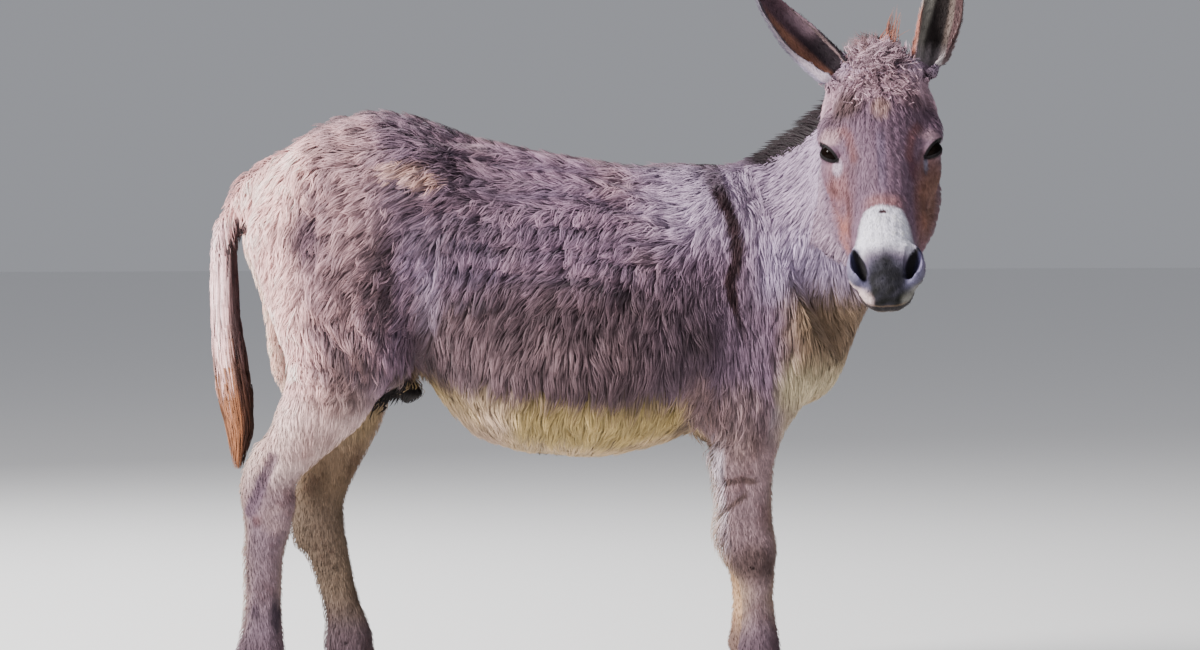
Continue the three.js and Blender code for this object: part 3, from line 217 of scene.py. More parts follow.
# %% Bridge the two rims
only(body_skin, head_skin)
bpy.ops.object.join()
skin = bpy.context.object
skin.name = "hide"
bpy.ops.object.mode_set(mode="EDIT")
bpy.ops.mesh.select_mode(type="EDGE")
bpy.ops.mesh.select_all(action="DESELECT")
bpy.ops.mesh.select_non_manifold()
bpy.ops.mesh.bridge_edge_loops()
bpy.ops.mesh.select_all(action="SELECT")
bpy.ops.mesh.quads_convert_to_tris()
bpy.ops.mesh.normals_make_consistent(inside=False)
bpy.ops.mesh.select_all(action="DESELECT")
bpy.ops.mesh.select_non_manifold()
bpy.ops.object.mode_set(mode="OBJECT")
open_edges = sum(edge.select for edge in skin.data.edges)
print("skin of", len(skin.data.polygons), "triangles, open edges:", open_edges)


# %% What each part of the skin belongs to
def arrays(mesh):
    """A mesh's vertices, their normals and its triangles, as arrays."""
    mesh.calc_loop_triangles()
    points = np.empty(len(mesh.vertices) * 3)
    mesh.vertices.foreach_get("co", points)
    normals = np.empty(len(mesh.vertices) * 3)
    mesh.vertices.foreach_get("normal", normals)
    triangles = np.empty(len(mesh.loop_triangles) * 3, np.int32)
    mesh.loop_triangles.foreach_get("vertices", triangles)
    return points.reshape(-1, 3), normals.reshape(-1, 3), triangles.reshape(-1, 3)


def move_skin(points):
    """Moves the skin's vertices to `points`, and gives its arrays as they are then."""
    skin.data.vertices.foreach_set("co", points.ravel())
    skin.data.update()
    return arrays(skin.data)


def tree_of(parts):
    """A search tree over several meshes, and for each of its faces the mesh it came from."""
    points, faces, owner = [], [], []
    for i, mesh in enumerate(parts):
        p, _, t = arrays(mesh)
        faces.extend((t + len(points)).tolist())
        points.extend(p.tolist())
        owner.extend([i] * len(t))
    return BVHTree.FromPolygons(points, faces), np.array(owner)


solids_tree, solid_of_face = tree_of([frame["nodes"][name].data for name in flesh])


def region_of(points):
    """The solid that each point is nearest to, as an index in `flesh`."""
    return solid_of_face[[solids_tree.find_nearest(p)[2] for p in points.tolist()]]


def belongs(region, *starts):
    """True where a region's solid has a name that starts so."""
    return np.isin(region, [i for i, name in enumerate(flesh) if name.startswith(starts)])


print(len(solid_of_face), "faces of solids to look up")

# %% [markdown]
# ## Smoothing, and room for the coat
# The solids have flat facets and lumps of mane. Each pass of smoothing moves a point towards the middle of its
# neighbours, and a number for each point says how often: often on the broad body and most along the mane,
# hardly at all on the face. Then the skin is drawn in by the depth of the coat that will lie on it, deep on the
# shaggy trunk and almost nothing on the muzzle, so the tips of the coat come back out to the solids' outline.

# %% Smooth by region
bpy.context.view_layer.objects.active = skin
bpy.ops.object.mode_set(mode="EDIT")
bpy.ops.mesh.select_all(action="SELECT")
bpy.ops.mesh.delete_loose()
bpy.ops.object.mode_set(mode="OBJECT")
points, normals, triangles = arrays(skin.data)
region = region_of(points)
edges = np.empty(len(skin.data.edges) * 2, np.int32)
skin.data.edges.foreach_get("vertices", edges)
edges = edges.reshape(-1, 2)
neighbours = np.maximum(np.bincount(edges.ravel(), minlength=len(points)), 1)


def averaged(values):
    """Each vertex's mean over its neighbours, for one value or a row of them."""
    values = values.reshape(len(values), -1)
    total = np.zeros_like(values)
    for column in range(values.shape[1]):
        total[:, column] = np.bincount(edges[:, 0], values[edges[:, 1], column], len(values))
        total[:, column] += np.bincount(edges[:, 1], values[edges[:, 0], column], len(values))
    return (total / neighbours[:, None]).squeeze()


crest_line = np.array(
    [[0.150, 0, 1.090], [0.262, 0, 1.085], [0.352, -0.026, 1.130], [0.428, -0.088, 1.190], [0.476, -0.172, 1.240],
     [0.488, -0.250, 1.262], [0.484, -0.320, 1.270]]
)


def from_line(points, line):
    """Distance of each point from a bent line, and how far along it the nearest place is, from 0 to 1."""
    best, where = np.full(len(points), 9.0), np.zeros(len(points))
    for i, (a, b) in enumerate(zip(line[:-1], line[1:])):
        t = np.clip((points - a) @ (b - a) / ((b - a) @ (b - a)), 0, 1)
        distance = np.linalg.norm(points - a - t[:, None] * (b - a), axis=1)
        nearer = distance < best
        best[nearer], where[nearer] = distance[nearer], (i + t[nearer]) / (len(line) - 1)
    return best, where


on_ear, on_head = belongs(region, "ear"), belongs(region, "head")
near_crest = share(from_line(points - origin, crest_line)[0], 0.075, 0.045) * ~on_ear * ~on_head
passes = np.where(on_head, 3, np.where(on_ear, 4, 7)) + 60 * near_crest
passes = np.where(belongs(region, "leg", "sheath", "tail"), 3, passes)
passes = np.where(belongs(region, "neck") & (near_crest < 0.1), 16, passes)
for step in range(64):
    pull = np.clip(passes - step, 0, 1)[:, None]
    points += 0.6 * pull * (averaged(points) - points)
    points -= 0.35 * pull * (averaged(points) - points) * (near_crest < 0.5)[:, None]
print("smoothed", len(points), "points, up to 64 times along the mane")

# %% Draw the skin in by the coat's depth
points, normals, triangles = move_skin(points)


def clump_relief(b):
    """The winter coat lies in waves across the hair: how high each body point stands in them, from -1 to 1."""
    x, z = b[:, 0], b[:, 2]
    bend = 2.4 * ripple(b, 0.21, 61) + 1.6 * ripple(b, 0.09, 62)
    slant = share(x, -0.30, -0.42)
    waves = np.sin(2 * np.pi * (z * (1 - 0.35 * slant) + x * (0.22 + 0.5 * slant)) / 0.047 + bend)
    broken = np.clip(0.6 + 0.6 * ripple(b, 0.10, 63), 0.1, 1)
    barrel = share(x, 0.20, 0.04) * (0.25 + 0.75 * share(z, 0.76, 0.86))
    thighs = slant * share(z, 0.62, 0.70)
    return waves * broken * np.maximum(barrel * share(z, 0.64, 0.72), thighs) * share(x, -0.64, -0.54)


creases = [  # lines in x and z, half width, depth
    ([[-0.640, 0, 0.515], [-0.662, 0, 0.460], [-0.680, 0, 0.415]], 0.016, 0.0055),
    ([[0.222, 0, 0.458], [0.250, 0, 0.466], [0.280, 0, 0.462]], 0.008, 0.004),
    ([[0.215, 0, 0.400], [0.238, 0, 0.416], [0.262, 0, 0.438]], 0.008, 0.004),
    ([[0.228, 0, 0.500], [0.254, 0, 0.512]], 0.005, 0.0015),
]


def crease_depth(b):
    """How deep the folds of the legs are at body points: the tendon's groove at the hock, wrinkles on the forearm."""
    far = b[:, 1] > 0
    flat = np.stack([b[:, 0] - 0.012 * far, 0 * far, b[:, 2]], 1)
    total = np.zeros(len(b))
    for line, half, deep in creases:
        distance, _ = from_line(flat, np.array(line))
        total = np.maximum(total, deep * share(distance, half, 0.15 * half))
    return total * ~(far & (b[:, 0] < 0))


def feathering(b, rearward, legs):
    """Extra fullness behind the cannons and the forearms, where the leg's hair is longest."""
    z = b[:, 2]
    cannon = share(z, 0.08, 0.15) * share(z, 0.40, 0.34) * (b[:, 0] < 0)
    forearm = share(z, 0.26, 0.36) * share(z, 0.62, 0.54) * (b[:, 0] > 0) * np.where(b[:, 1] < 0, 1, -1.2)
    return share(rearward, 0.1, 0.8) * (0.45 * cannon + forearm) * legs


bulges = [  # middle, half widths, height
    ([-0.600, -0.10, 0.400], [0.035, 0.09, 0.055], 0.009),
    ([0.305, -0.10, 0.300], [0.030, 0.09, 0.050], 0.009),
    ([0.300, -0.10, 0.200], [0.030, 0.09, 0.060], 0.004),
    ([-0.290, 0.00, 1.000], [0.090, 0.20, 0.050], 0.008),
    ([-0.490, 0.00, 1.050], [0.060, 0.20, 0.050], -0.008),
    ([-0.430, -0.12, 0.615], [0.040, 0.08, 0.040], -0.014),
]
head_points = to_head(points)
body_points = points - origin
height = body_points[:, 2]
depth = np.where(belongs(region, "leg"), 0.002 + 0.006 * share(height, 0.30, 0.55), 0.011)
muzzle = share(head_points[:, 0], 0.30, 0.40)
depth = np.where(on_head, 0.004 - 0.003 * muzzle, depth)
poll_dome = spot(head_points, [0.004, 0.004, -0.025], [0.030, 0.040, 0.055]) * on_head
ear_corner = spot(head_points, [0.026, 0.114, -0.022], [0.030, 0.026, 0.030])
depth = depth + 0.006 * ear_corner * on_head
for place in eye_places:
    depth = np.where(np.linalg.norm(head_points - place, axis=1) < 0.034, 0.0004, depth)
depth = np.where(on_ear, 0.0017, depth)
depth = np.where(belongs(region, "sheath"), 0.001, np.where(belongs(region, "tail"), 0.005, depth))
for _ in range(6):
    depth = averaged(depth)
on_leg = belongs(region, "leg")
relief = 0.0065 * clump_relief(body_points) * ~on_ear * ~on_head - crease_depth(body_points) * on_leg
relief += 0.012 * feathering(body_points, -normals[:, 0], on_leg)
for middle, half_widths, rise in bulges:
    relief += rise * spot(body_points, middle, half_widths) * ~on_head * ~on_ear
hung = belongs(region, "sheath") * share(height, 0.675, 0.655)
relief += 0.006 * ripple(body_points, 0.030, 64) * hung
points += normals * (relief - depth)[:, None]
points += poll_dome[:, None] * (head_turn @ [-0.87, 0, 0.48]) * 0.016
points += ear_corner[:, None] * (head_turn @ [0, -1, 0]) * 0.010
points[:, 2] += 0.30 * np.maximum(0.668 - height, 0) * hung
points, normals, triangles = move_skin(points)
folded = (np.einsum("ij,ij->i", normals, unit(averaged(normals))) < 0.6) & ~on_head & ~on_ear
near_fold = averaged(averaged(averaged(folded.astype(float)))) > 0.02
for _ in range(30):  # irons out the few folds that the remesh leaves
    points[near_fold] = averaged(points)[near_fold]
points, normals, triangles = move_skin(points)
print("folds ironed out:", folded.sum())
only(skin)
bpy.ops.object.shade_smooth()
print("skin drawn in by", round(1000 * depth.min(), 1), "to", round(1000 * depth.max(), 1), "mm")

# %% [markdown]
# ## Eyelids
# The socket was closed by a ball a little larger than the eye. The lids are what remains of it round an almond
# opening: the skin there is subdivided until its points are under a millimetre apart, points inside the almond
# are pushed back behind the eyeball, and those outside stay in front of it. A shallow fold runs above the upper
# lid, as it does on the animal.

# %% Finer skin at the eyes
centres = [Vector(from_head(place)) for place in eye_places]
only(skin)
for reach in (0.032, 0.028):
    bpy.ops.object.mode_set(mode="EDIT")
    bpy.ops.mesh.select_mode(type="FACE")
    bpy.ops.mesh.select_all(action="DESELECT")
    bpy.ops.object.mode_set(mode="OBJECT")
    for face in skin.data.polygons:
        face.select = any((face.center - centre).length < reach for centre in centres)
    bpy.ops.object.mode_set(mode="EDIT")
    bpy.ops.mesh.subdivide(number_cuts=1)
    bpy.ops.object.mode_set(mode="OBJECT")
points, normals, triangles = arrays(skin.data)
print("skin has", len(triangles), "triangles with the lids")


# %% Cut the lids
def almond(h, place):
    """Head points seen from in front of an eye: how far outside its opening they are, and how far above its middle."""
    side = np.sign(place[1])
    out = unit(np.array([0.08, side * 0.70, 0.71]))
    along = unit(np.array([-0.82, side * 0.43, -0.37]))
    up = unit(np.cross(along, out)) * side
    offset = h - place
    a, b, front = offset @ along, offset @ up, offset @ out
    round_off = np.sqrt(np.clip(1 - (a / half_opening) ** 2, 0, 1)) ** 1.2
    half = np.where(b > 0, 0.0096, 0.0078 * (1 - 0.45 * a / half_opening)) * round_off
    beyond = np.maximum(np.abs(a) - half_opening, 0)
    outside = np.hypot(np.maximum(np.abs(b) - half, 0), beyond) - np.maximum(half - np.abs(b), 0)
    return np.where(front > 0, outside, 0.03), b


head_points = to_head(points)
for place in eye_places:
    outside, above = almond(head_points, place)
    offset = head_points - place
    radius = np.linalg.norm(offset, axis=1)
    lid = 0.0236 + 0.0010 * share(outside, 0.001, 0.004) - 0.0012 * spot_line(outside, 0.0062, 0.0022) * (above > 0)
    behind = share(outside, 0.0002, -0.0012)
    target = lid + (0.0185 - lid) * behind
    near = (radius < 0.0285) & (outside < 0.009)
    moved = place + offset / radius[:, None] * target[:, None]
    on_lid = near & ((outside < 0.0029) | (radius < lid_reach))
    head_points = np.where(on_lid[:, None], moved, head_points)
points, normals, triangles = move_skin(from_head(head_points))
region = region_of(points)
print("two pairs of lids cut")

# %% [markdown]
# ## The colours of the coat
# A donkey's coat is not one colour. A dark stripe runs down the spine and another crosses the shoulders; belly,
# rump and the insides of the legs are pale; the face goes from brown through rust to a white band, a grey muzzle
# and nostrils painted black as the shade in their openings. Some layers are painted light and shade: the lower
# barrel, the far legs, pits, hollows and creases are painted darker, and a few highlights are painted in. An image
# could hold this, but a function of place is sharper and needs no unwrap: it takes points on the body and gives a
# colour for each. Skin and tufts ask the same function, so their markings agree.


# %% Paint in layers
def mixed(colour, other, amount):
    return colour + (other - colour) * np.asarray(amount)[:, None]


def plain(points, *dye):
    """One colour, as a picker shows it, for every point."""
    return np.tile(tone(*dye), (len(points), 1))


def painted(colour, *layers):
    """Colours with layers over them in turn, each one picker colour and how strongly it shows at every point."""
    for dye, amount in layers:
        colour = mixed(colour, tone(*dye), amount)
    return colour


def patched(colour, b, patches, where=1, smooth_below=0.0):
    """Streaky patches at places in x and z. A patch no higher than `smooth_below` has no streaks."""
    streaky = np.clip(0.95 + 0.6 * ripple(b, 0.022, 65), 0.2, 1)
    for x, z, wide, high, dye, amount in patches:
        amount = amount * (streaky if high > smooth_below else 1) * where
        colour = painted(colour, (dye, amount * spot(b * [1, 0, 1], [x, 0, z], [wide, 1, high])))
    return colour


def line_at(value, *pairs):
    """A number read from (place, number) pairs."""
    places, numbers = zip(*pairs)
    return np.interp(value, places, numbers)


print("paint ready")

# %% Patches of the trunk
coat_patches = [  # x, z, half width, half height, colour, strength
    # painted highlight: the two warm tan patches on the point of the hip
    (-0.400, 1.055, 0.045, 0.016, (214, 172, 158), 0.6),
    (-0.352, 1.034, 0.034, 0.014, (210, 166, 148), 0.6),
    (-0.365, 0.985, 0.050, 0.024, (84, 64, 78), 0.7),
    (-0.360, 0.900, 0.040, 0.060, (96, 82, 104), 0.7),
    (-0.345, 0.810, 0.022, 0.060, (132, 116, 140), 0.5),
    (-0.440, 0.840, 0.034, 0.105, (62, 46, 52), 0.85),
    (-0.585, 0.925, 0.040, 0.046, (80, 60, 74), 0.85),
    (-0.515, 0.850, 0.040, 0.042, (74, 54, 60), 0.8),
    (-0.545, 0.770, 0.050, 0.040, (112, 84, 86), 0.6),
    (-0.495, 0.690, 0.064, 0.044, (70, 52, 52), 0.85),
    (-0.520, 0.625, 0.060, 0.036, (88, 64, 64), 0.85),
    (-0.170, 0.910, 0.080, 0.035, (98, 78, 98), 0.6),
    (0.165, 0.605, 0.034, 0.060, (132, 106, 106), 0.9),
    (-0.270, 0.880, 0.060, 0.070, (78, 64, 82), 0.65),
    (0.245, 0.590, 0.060, 0.060, (120, 98, 96), 0.65),
    (-0.405, 0.655, 0.020, 0.025, (50, 36, 36), 0.85),
    # painted shade: a broad dark band across the middle of the barrel
    (-0.100, 0.800, 0.170, 0.065, (66, 50, 58), 0.65),
    (0.319, 0.560, 0.016, 0.045, (214, 202, 216), 0.7),
]
print(len(coat_patches), "patches on the trunk")


# %% Where the trunk's markings end
def rump_share(x, z):
    """The pale rump: its front edge slants down and forward, and it fades out above the gaskin."""
    edge = line_at(
        z, (0.60, -0.53), (0.66, -0.57), (0.76, -0.60), (0.85, -0.616), (0.93, -0.634), (1.0, -0.605), (1.07, -0.585)
    )
    return share(x, edge + 0.05, edge - 0.03) * share(x, -0.40, -0.46) * (0.3 + 0.7 * share(z, 0.60, 0.68))


def belly_share(b, x, z):
    """The cream belly, with a wavering upper edge."""
    edge = line_at(
        x, (-0.33, 0.664), (-0.30, 0.635), (-0.268, 0.628), (-0.204, 0.619), (-0.102, 0.611), (0.0, 0.603),
        (0.15, 0.612)
    )
    wavering = z + 0.010 * ripple(b, 0.03, 13)
    return share(wavering, edge + 0.026, edge - 0.030) * share(x, 0.170, 0.125) * share(x, -0.42, -0.34)


def cross_share(b, x, z):
    """The dark bar over the shoulders, which wanders and narrows on its way down."""
    middle = line_at(
        z, (0.728, 0.260), (0.767, 0.245), (0.805, 0.232), (0.844, 0.227), (0.882, 0.242), (0.920, 0.243),
        (0.959, 0.237), (1.0, 0.219), (1.04, 0.210), (1.08, 0.209)
    )
    half = line_at(z, (0.73, 0.006), (0.80, 0.008), (0.85, 0.013), (0.96, 0.015), (1.04, 0.018), (1.07, 0.024))
    bar = share(np.abs(x - middle) + 0.003 * ripple(b, 0.03, 14), half * 1.5, half * 0.6)
    return bar * share(z, 0.70, 0.80) * (1 - 0.35 * share(z, 1.00, 1.05))


# %% Markings of the trunk
def trunk_colour(b, up):
    """Colours of body points `b`, whose normals point up by `up`."""
    x, side, z = b[:, 0], np.abs(b[:, 1]), b[:, 2]
    flat = b * [1, 0, 1]
    mottle = ripple(b, 0.055, 11) * 0.5 + ripple(b, 0.12, 12) * 0.5
    shaggy = share(x, 0.20, 0.02) * share(z, 0.62, 0.74)
    fore = share(x, 0.0, 0.16)
    colour = painted(
        plain(b, 124, 100, 122),
        # painted shade: the lower barrel is darker, as the shade under the body's turn
        ((76, 58, 60), share(z, 0.89, 0.78) * share(x, 0.24, 0.14) * share(x, -0.44, -0.34) * 0.88),
        ((104, 84, 98), share(x, -0.10, -0.30) * share(z, 0.88, 0.96) * 0.6),
        ((160, 130, 136), shaggy * share(mottle, 0.0, 0.8) * 0.45),
        ((84, 66, 78), shaggy * share(mottle, 0.0, -0.8) * 0.45),
        ((166, 146, 172), fore * share(z, 0.86, 0.98)),
        ((108, 88, 104), fore * share(x, 0.32, 0.27) * share(z, 0.90, 0.82) * 0.6),
        ((176, 158, 190), share(x, 0.25, 0.32) * share(z, 0.78, 0.84) * share(z, 0.98, 0.90) * 0.85),
        ((166, 132, 136), share(x, -0.40, -0.50) * share(z, 0.62, 0.74) * 0.8),
        ((222, 192, 188), share(z, 0.70, 0.60) * share(x, -0.40, -0.52) * 0.85),
    )
    brisket = share(x + 0.01 * ripple(b, 0.03, 66), 0.29, 0.37) * share(z, 0.87, 0.78)
    breast = share(x + 0.015 * ripple(b, 0.04, 67), 0.30, 0.35) * share(z, 0.72, 0.63)
    # painted shade: dark pits at the elbow, under the front of the belly
    elbow = spot(flat, [0.166, 0, 0.735], 0.035) * share(side, 0.12, 0.17) + 0.8 * spot(flat, [0.150, 0, 0.555], 0.022)
    spine = share(side, 0.034, 0.012) * share(up, 0.1, 0.5)
    return painted(
        patched(colour, b, coat_patches),
        ((250, 198, 194), rump_share(x, z) * 0.95),
        ((170, 147, 96), belly_share(b, x, z)),
        ((134, 112, 74), brisket * 0.75),
        ((216, 200, 164), breast * 0.9),
        ((176, 152, 118), share(side, 0.135, 0.095) * share(z, 0.66, 0.58)),
        # painted shade in the elbow pits
        ((60, 46, 50), 0.6 * elbow),
        ((84, 64, 72), spine * share(x, -0.66, -0.56) * 0.8),
        ((150, 104, 106), spine * share(x, -0.50, -0.60) * 0.7),
        ((42, 20, 26), cross_share(b, x, z) * 0.98),
    )


# %% Markings of the legs
leg_patches = [
    (-0.632, 0.215, 0.012, 0.034, (44, 32, 44), 0.95),
    (-0.672, 0.225, 0.008, 0.014, (70, 54, 66), 0.85),
    (-0.668, 0.397, 0.009, 0.011, (88, 60, 66), 0.9),
    (-0.545, 0.560, 0.044, 0.034, (112, 84, 82), 0.7),
    (-0.515, 0.630, 0.060, 0.040, (86, 62, 62), 0.85),
    (-0.600, 0.525, 0.030, 0.022, (150, 118, 118), 0.6),
    (-0.540, 0.490, 0.030, 0.030, (144, 114, 112), 0.65),
    (-0.630, 0.400, 0.030, 0.030, (160, 132, 132), 0.5),
    # painted shadow in the groove of the near hock
    (-0.661, 0.462, 0.014, 0.034, (78, 60, 72), 0.6),
    (0.180, 0.590, 0.040, 0.060, (138, 110, 108), 0.85),
    (0.250, 0.560, 0.050, 0.060, (118, 96, 92), 0.7),
]


def leg_colour(b):
    """Colours of body points on the legs. The far legs are painted darker, as shade, with a painted pool of light
    low on the far foreleg, and the near ones have their own patches.
    """
    x, side, z = b[:, 0], np.abs(b[:, 1]), b[:, 2]
    front, near, far = x > 0, b[:, 1] < 0, share(b[:, 1], 0.0, 0.06)
    rear = line_at(z, (0.1, 0.240), (0.34, 0.226), (0.45, 0.212), (0.55, 0.212), (0.60, 0.196))
    rear_edge = share(x - rear, 0.014, -0.004) * front
    colour = painted(
        plain(b, 132, 108, 114),
        ((112, 92, 106), share(z, 0.34, 0.18)),
        ((104, 86, 98), ~front * share(z, 0.46, 0.38) * share(z, 0.10, 0.16) * 0.7),
        ((228, 198, 192), share(z, 0.43, 0.53) * ~front * 0.85),
        ((146, 120, 124), share(z, 0.40, 0.50) * front),
        ((222, 208, 222), rear_edge * share(z, 0.30, 0.38) * share(z, 0.56, 0.51) * 0.75),
        ((150, 126, 102), share(side, 0.145, 0.105) * share(z, 0.12, 0.25) * 0.8),
    )
    # painted shade: the far legs darker, and the far hind leg's lower part darker and bluer still
    colour = mixed(colour, colour * [0.54, 0.51, 0.49], far * np.where(front, share(z, 0.24, 0.34), 1))
    colour = mixed(colour, colour * [0.80, 0.84, 0.98], far * ~front * share(z, 0.47, 0.38))
    knee = spot(b * [1, 0, 1], [0.285, 0, 0.305], [0.045, 1, 0.038]) * front
    colour = painted(
        colour,
        # painted light: a warm pool of light low on the far foreleg
        ((214, 172, 142), far * front * share(z, 0.32, 0.26) * share(z, 0.08, 0.12) * 0.8),
        ((84, 66, 76), share(z, 0.20, 0.14) * share(z, 0.055, 0.09) * 0.8),
        ((72, 54, 52), 0.85 * knee),
    )
    colour = patched(colour, b, leg_patches, near, smooth_below=0.02)
    # painted shade in the creases of the legs: the hock's groove and the forearm's wrinkles
    fold = np.where(front[:, None], tone(86, 66, 62), tone(92, 72, 88))
    colour = mixed(colour, fold, share(crease_depth(b), 0.0, 0.003) * 0.8)
    broad, fine = ripple(b, 0.035, 15), ripple(b, 0.014, 16)
    colour = mixed(colour, colour * [0.64, 0.58, 0.58], share(broad + 0.5 * fine, 0.0, 0.9) * share(z, 0.74, 0.64))
    colour = mixed(colour, np.minimum(colour * 1.3, 1), share(fine, 0.1, 0.8) * 0.5)
    return painted(colour, ((84, 70, 66), share(z, 0.075, 0.055) * 0.7))


print(len(leg_patches), "patches on the near legs")

# %% Patches of the face
face_patches = [  # middle and half widths, colour, strength
    # painted shade in the two hollows of the forehead
    ([0.104, -0.062, 0.005, 0.026, 0.034, 0.04], (72, 52, 48), 0.8),
    ([0.098, 0.060, 0.005, 0.020, 0.028, 0.04], (88, 64, 70), 0.5),
    ([0.118, 0.002, 0.020, 0.020, 0.016, 0.04], (196, 158, 148), 0.75),
    ([-0.006, -0.014, 0.000, 0.012, 0.014, 0.04], (54, 38, 48), 0.8),
    ([0.185, -0.004, 0.013, 0.060, 0.007, 0.04], (92, 74, 92), 0.45),
    ([0.224, 0.058, -0.026, 0.024, 0.010, 0.03], (88, 54, 66), 0.75),
    ([0.212, -0.050, -0.012, 0.026, 0.014, 0.04], (96, 74, 84), 0.4),
    ([0.250, -0.060, -0.035, 0.050, 0.012, 0.04], (96, 68, 76), 0.5),
    ([0.152, -0.094, -0.028, 0.016, 0.024, 0.03], (196, 160, 166), 0.65),
    ([0.156, 0.092, -0.024, 0.010, 0.024, 0.03], (184, 152, 164), 0.6),
    ([0.026, 0.112, -0.022, 0.024, 0.018, 0.03], (60, 42, 48), 0.9),
    ([0.160, 0.000, 0.010, 0.050, 0.040, 0.04], (96, 74, 92), 0.35),
]
# a line along each brow: partly red-brown hair, partly painted shade under the brow
brow_line = np.array([[0.146, 0.070, -0.014], [0.160, 0.060, -0.009], [0.182, 0.057, -0.010], [0.206, 0.053, -0.012]])
print(len(face_patches), "patches on the face")


# %% Upper face, nose band and muzzle
def upper_face(h, x, y, side):
    """Brown forehead and rusty cheeks, down to the rusty ring above the white band."""
    folded = np.stack([x, side, h[:, 2]], 1)
    streaks = ripple(h * [0.35, 1, 1], 0.016, 24)
    wander = x + 0.005 * ripple(h, 0.03, 21)
    rust = spot(folded, [0.270, 0.082, -0.080], [0.095, 0.030, 0.050])
    orange = spot(folded, [0.318, 0.074, -0.100], [0.032, 0.018, 0.030])
    patchy = np.clip(0.6 + 0.4 * ripple(h, 0.03, 23) + 0.35 * streaks, 0, 1)
    ring = share(wander, 0.278, 0.298) * share(wander, 0.330, 0.305) * share(side, 0.050, 0.015)
    return painted(
        plain(h, 116, 92, 110),
        ((186, 152, 166), share(x, 0.12, 0.06) * 0.85),
        ((84, 64, 70), share(ripple(h, 0.045, 22), 0.2, 0.9) * share(x, 0.19, 0.08) * 0.6),
        *((dye, amount * spot(h, place[:3], place[3:])) for place, dye, amount in face_patches),
        # red-brown along the brow, partly painted shade
        ((122, 80, 82), 0.7 * share(from_line(folded, brow_line)[0], 0.018, 0.002)),
        ((148, 100, 98), 0.8 * rust * patchy),
        ((112, 80, 66), 0.85 * spot(h, [0.262, 0.090, -0.085], [0.095, 0.034, 0.060])),
        ((166, 102, 84), np.where(y < 0, 0.65, 0.2) * orange * patchy),
        ((76, 46, 50), 0.8 * share(streaks, 0.10, 0.7) * share(rust, 0.2, 0.8)),
        ((150, 104, 102), 0.6 * ring),
        ((112, 96, 120), 0.5 * share(side, 0.012, 0.004) * share(x, 0.15, 0.18) * share(x, 0.30, 0.25)),
    )


def lower_face(colour, h, x, y, side, z):
    """The white band, then the grey muzzle with its lips and nostrils."""
    wander = 0.005 * ripple(h, 0.03, 21)
    half = line_at(x, (0.305, 0.010), (0.314, 0.032), (0.335, 0.045), (0.360, 0.052), (0.390, 0.055))
    band = share(x + wander, 0.306, 0.318) * share(x, 0.418, 0.378) * share(side + wander, half + 0.007, half - 0.005)
    dark = share(x - 0.9 * side + 0.006 * ripple(h, 0.02, 25), 0.372, 0.420)
    colour = painted(
        colour,
        ((226, 224, 240), band),
        ((60, 36, 44), spot(h, [0.3215, -0.001, -0.006], [0.0038, 0.0090, 0.02], 0.3)),
        ((104, 100, 122), share(x - 0.25 * side, 0.372, 0.425)),
        ((9, 9, 11), dark * (0.92 + 0.12 * ripple(h, 0.012, 26))),
    )
    lip = share(x, 0.428, 0.446) * share(z, -0.050, -0.066) * share(side, 0.020, 0.034) * share(x, 0.492, 0.480)
    colour = mixed(colour, np.where(y[:, None] < 0, tone(226, 200, 200), tone(128, 126, 120)), lip * 0.9)
    lip_edge = share(x, 0.45, 0.465) * spot_line(z, -0.0750, 0.004) * share(side, 0.040, 0.030)
    slant = side - 0.047 + 0.32 * (x - 0.411)
    hole = np.linalg.norm(np.stack([(x - 0.413) / 0.027, (slant - 0.004) / 0.0125, (z + 0.043) / 0.030], 1), axis=1)
    return painted(
        colour,
        ((120, 98, 76), lip_edge * 0.6),
        # painted shade: the dark band of the mouth, the lower lip's shadow
        ((30, 24, 26), share(z, -0.075, -0.080) * share(z, -0.110, -0.100) * share(x, 0.33, 0.38) * 0.95),
        ((88, 78, 72), share(x, 0.35, 0.39) * share(z, -0.100, -0.110)),
        ((132, 128, 164), share(hole, 2.2, 1.3) * share(slant, -0.008, 0.010) * 0.6),
        # painted shade: the nostril openings, nearly black as the shade inside them
        ((40, 38, 66), share(hole, 1.20, 0.95)),
        ((14, 11, 17), share(slant, 0.012, 0.004) * share(hole, 1.20, 0.95)),
    )


# %% Markings of the head
def head_colour(h):
    """Colours of head points `h`, in the head's own coordinates."""
    x, y, z = h.T
    side = np.abs(y)
    colour = lower_face(upper_face(h, x, y, side), h, x, y, side, z)
    for place in eye_places:
        right = place[1] < 0
        tear = spot(h, place + [0.034, 0.008 if right else -0.008, 0.008], [0.015, 0.009 if right else 0.004, 0.02])
        outside, above = almond(h, place)
        colour = painted(
            colour,
            ((192, 176, 196) if right else (120, 124, 148), tear * 0.65),
            ((16, 10, 14), share(outside, np.where(above > 0, 0.0095, 0.0060), 0.0035)),
        )
    throat = share(z, -0.10, -0.20) * share(x, 0.40, 0.30)
    return painted(
        colour,
        ((160, 138, 158), throat * share(y, 0.04, -0.04) * 0.9),
        ((104, 80, 76), throat * share(y, -0.04, 0.04) * 0.9),
    )


# %% Places on the ears
ears = {
    "ear_right": dict(root=[0.431, -0.330, 1.215], tip=[0.236, -0.306, 1.434], open=[0.24, -0.94, 0.24], twist=30),
    "ear_left": dict(root=[0.563, -0.330, 1.224], tip=[0.620, -0.308, 1.486], open=[-0.15, -1, 0.1], twist=0),
}


